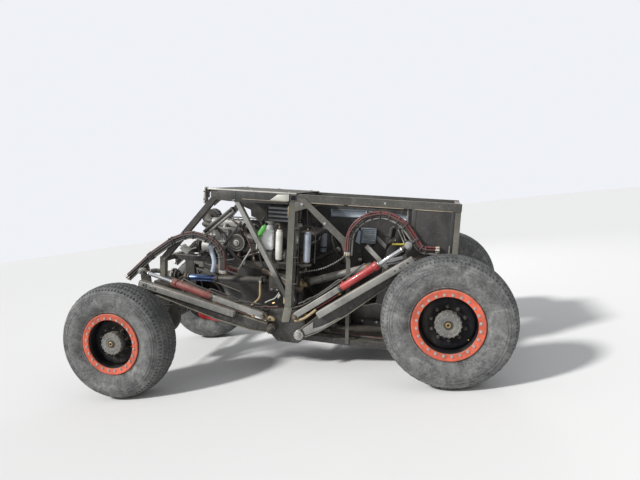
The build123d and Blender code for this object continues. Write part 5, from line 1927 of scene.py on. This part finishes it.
# axle fittings: covers, ribs, bolts, lines
def makeAxleTrim(end):
    e = ends[end]
    x, y, z = e * layout["halfBase"], layout["shaftY"], layout["axleHeight"]
    parts, add = gathering()
    cover = lathe([(0.0001, -0.048), (0.06, -0.044), (0.095, -0.03), (0.118, -0.01), (0.138, -0.008), (0.14, 0.006),
        (0.12, 0.01)], 48)
    add(castGrey, shifted(cover, (x + e * 0.118, y, z), rotation(90, "Z")))
    for k in range(12):
        a = tau * k / 12
        parts += boltAt((x + e * 0.126, y + 0.129 * cos(a), z + 0.129 * sin(a)), 0.0085, (e, 0, 0), zinc)
    add(darkSteel, rod((x + e * 0.16, y, z - 0.02), (x + e * 0.172, y, z - 0.02), 0.014, 6, 0.001))
    # ribs on the centre casting and on the tubes
    for s in (-1, 1):
        for k in range(3):
            a = math.radians(-50 + 50 * k)
            tip = (x + 0.06 * sin(a), y + s * 0.3, z + 0.06 * cos(a))
            root = (x + 0.155 * sin(a), y + s * 0.105, z + 0.155 * cos(a))
            add(castDark, bar(root, tip, 0.012, 0.02, 0.003))
        ring = lathe([(0.06, -0.014), (0.07, -0.012), (0.071, 0.012), (0.06, 0.014)], 40, closed=True)
        add(castDark, shifted(ring, (x, y + s * 0.185, z)))
        for off in (0.4, 0.52):
            if abs(y + s * off) < 0.66:
                clamp = lathe([(0.0605, -0.005), (0.0645, -0.005), (0.0645, 0.005), (0.0605, 0.005)], 36, closed=True)
                add(zinc, shifted(clamp, (x, y + s * off, z)))
        # stiffeners and bolts on the towers
        for dz in (0.1, 0.22, 0.34):
            parts += boltAt((x - e * 0.02, s * 0.4865, z + dz - 0.06), 0.01, (0, s, 0), zinc)
    top = Vector((x - e * 0.235, y, z + 0.44))
    neck = lathe([(0.076, -0.01), (0.096, -0.01), (0.098, -0.006), (0.098, 0.006), (0.096, 0.01), (0.076, 0.01)], 40,
        closed=True)
    add(castGrey, shifted(neck, (top.x + e * 0.04, top.y, top.z), rotation(90, "Z")))
    for k in range(8):
        a = tau * k / 8
        parts += boltAt((top.x + e * 0.029, top.y + 0.087 * cos(a), top.z + 0.087 * sin(a)), 0.0075, (-e, 0, 0), zinc)
    for dz in (0.16, 0.24, 0.32):
        middle = x - e * (0.03 + dz * 0.27)
        add(castDark, block((middle - 0.116, y - 0.116, z + dz - 0.006), (middle + 0.116, y + 0.116, z + dz + 0.006)))
    # brake and breather lines along the tube
    out = 0.6 if end == "front" else 0.8
    for s in (-1, 1):
        line = [(x - e * 0.02, y + s * 0.14, z + 0.125), (x - e * 0.03, y + s * 0.22, z + 0.075),
            (x - e * 0.04, s * 0.44, z + 0.066), (x - e * 0.04, s * out, z + 0.066)]
        add(copper, tube(line, 0.004, 8))
        hose = [(x - e * 0.04, s * out, z + 0.066), (x - e * 0.09, s * (out + 0.02), z + 0.1),
            (x - e * 0.12, s * (out - 0.01), z + 0.2), (x - e * 0.14, s * 0.5, z + 0.34),
            (x - e * 0.16, s * 0.46, z + 0.42)]
        add(hoseBlack, tube(hose, 0.0068, 8))
    add(hoseBlack, tube([(x - e * 0.02, y, z + 0.17), (x + e * 0.06, y + 0.02, z + 0.24),
        (x + e * 0.02, y + 0.14, z + 0.36), (x - e * 0.08, y + 0.2, z + 0.46)], 0.006, 8))
    return joined("axle_fittings_" + end, parts)


for end in ends:
    piece = makeAxleTrim(end)
    done(piece, "chassis")
print("axle fittings made")


print("scene ready")
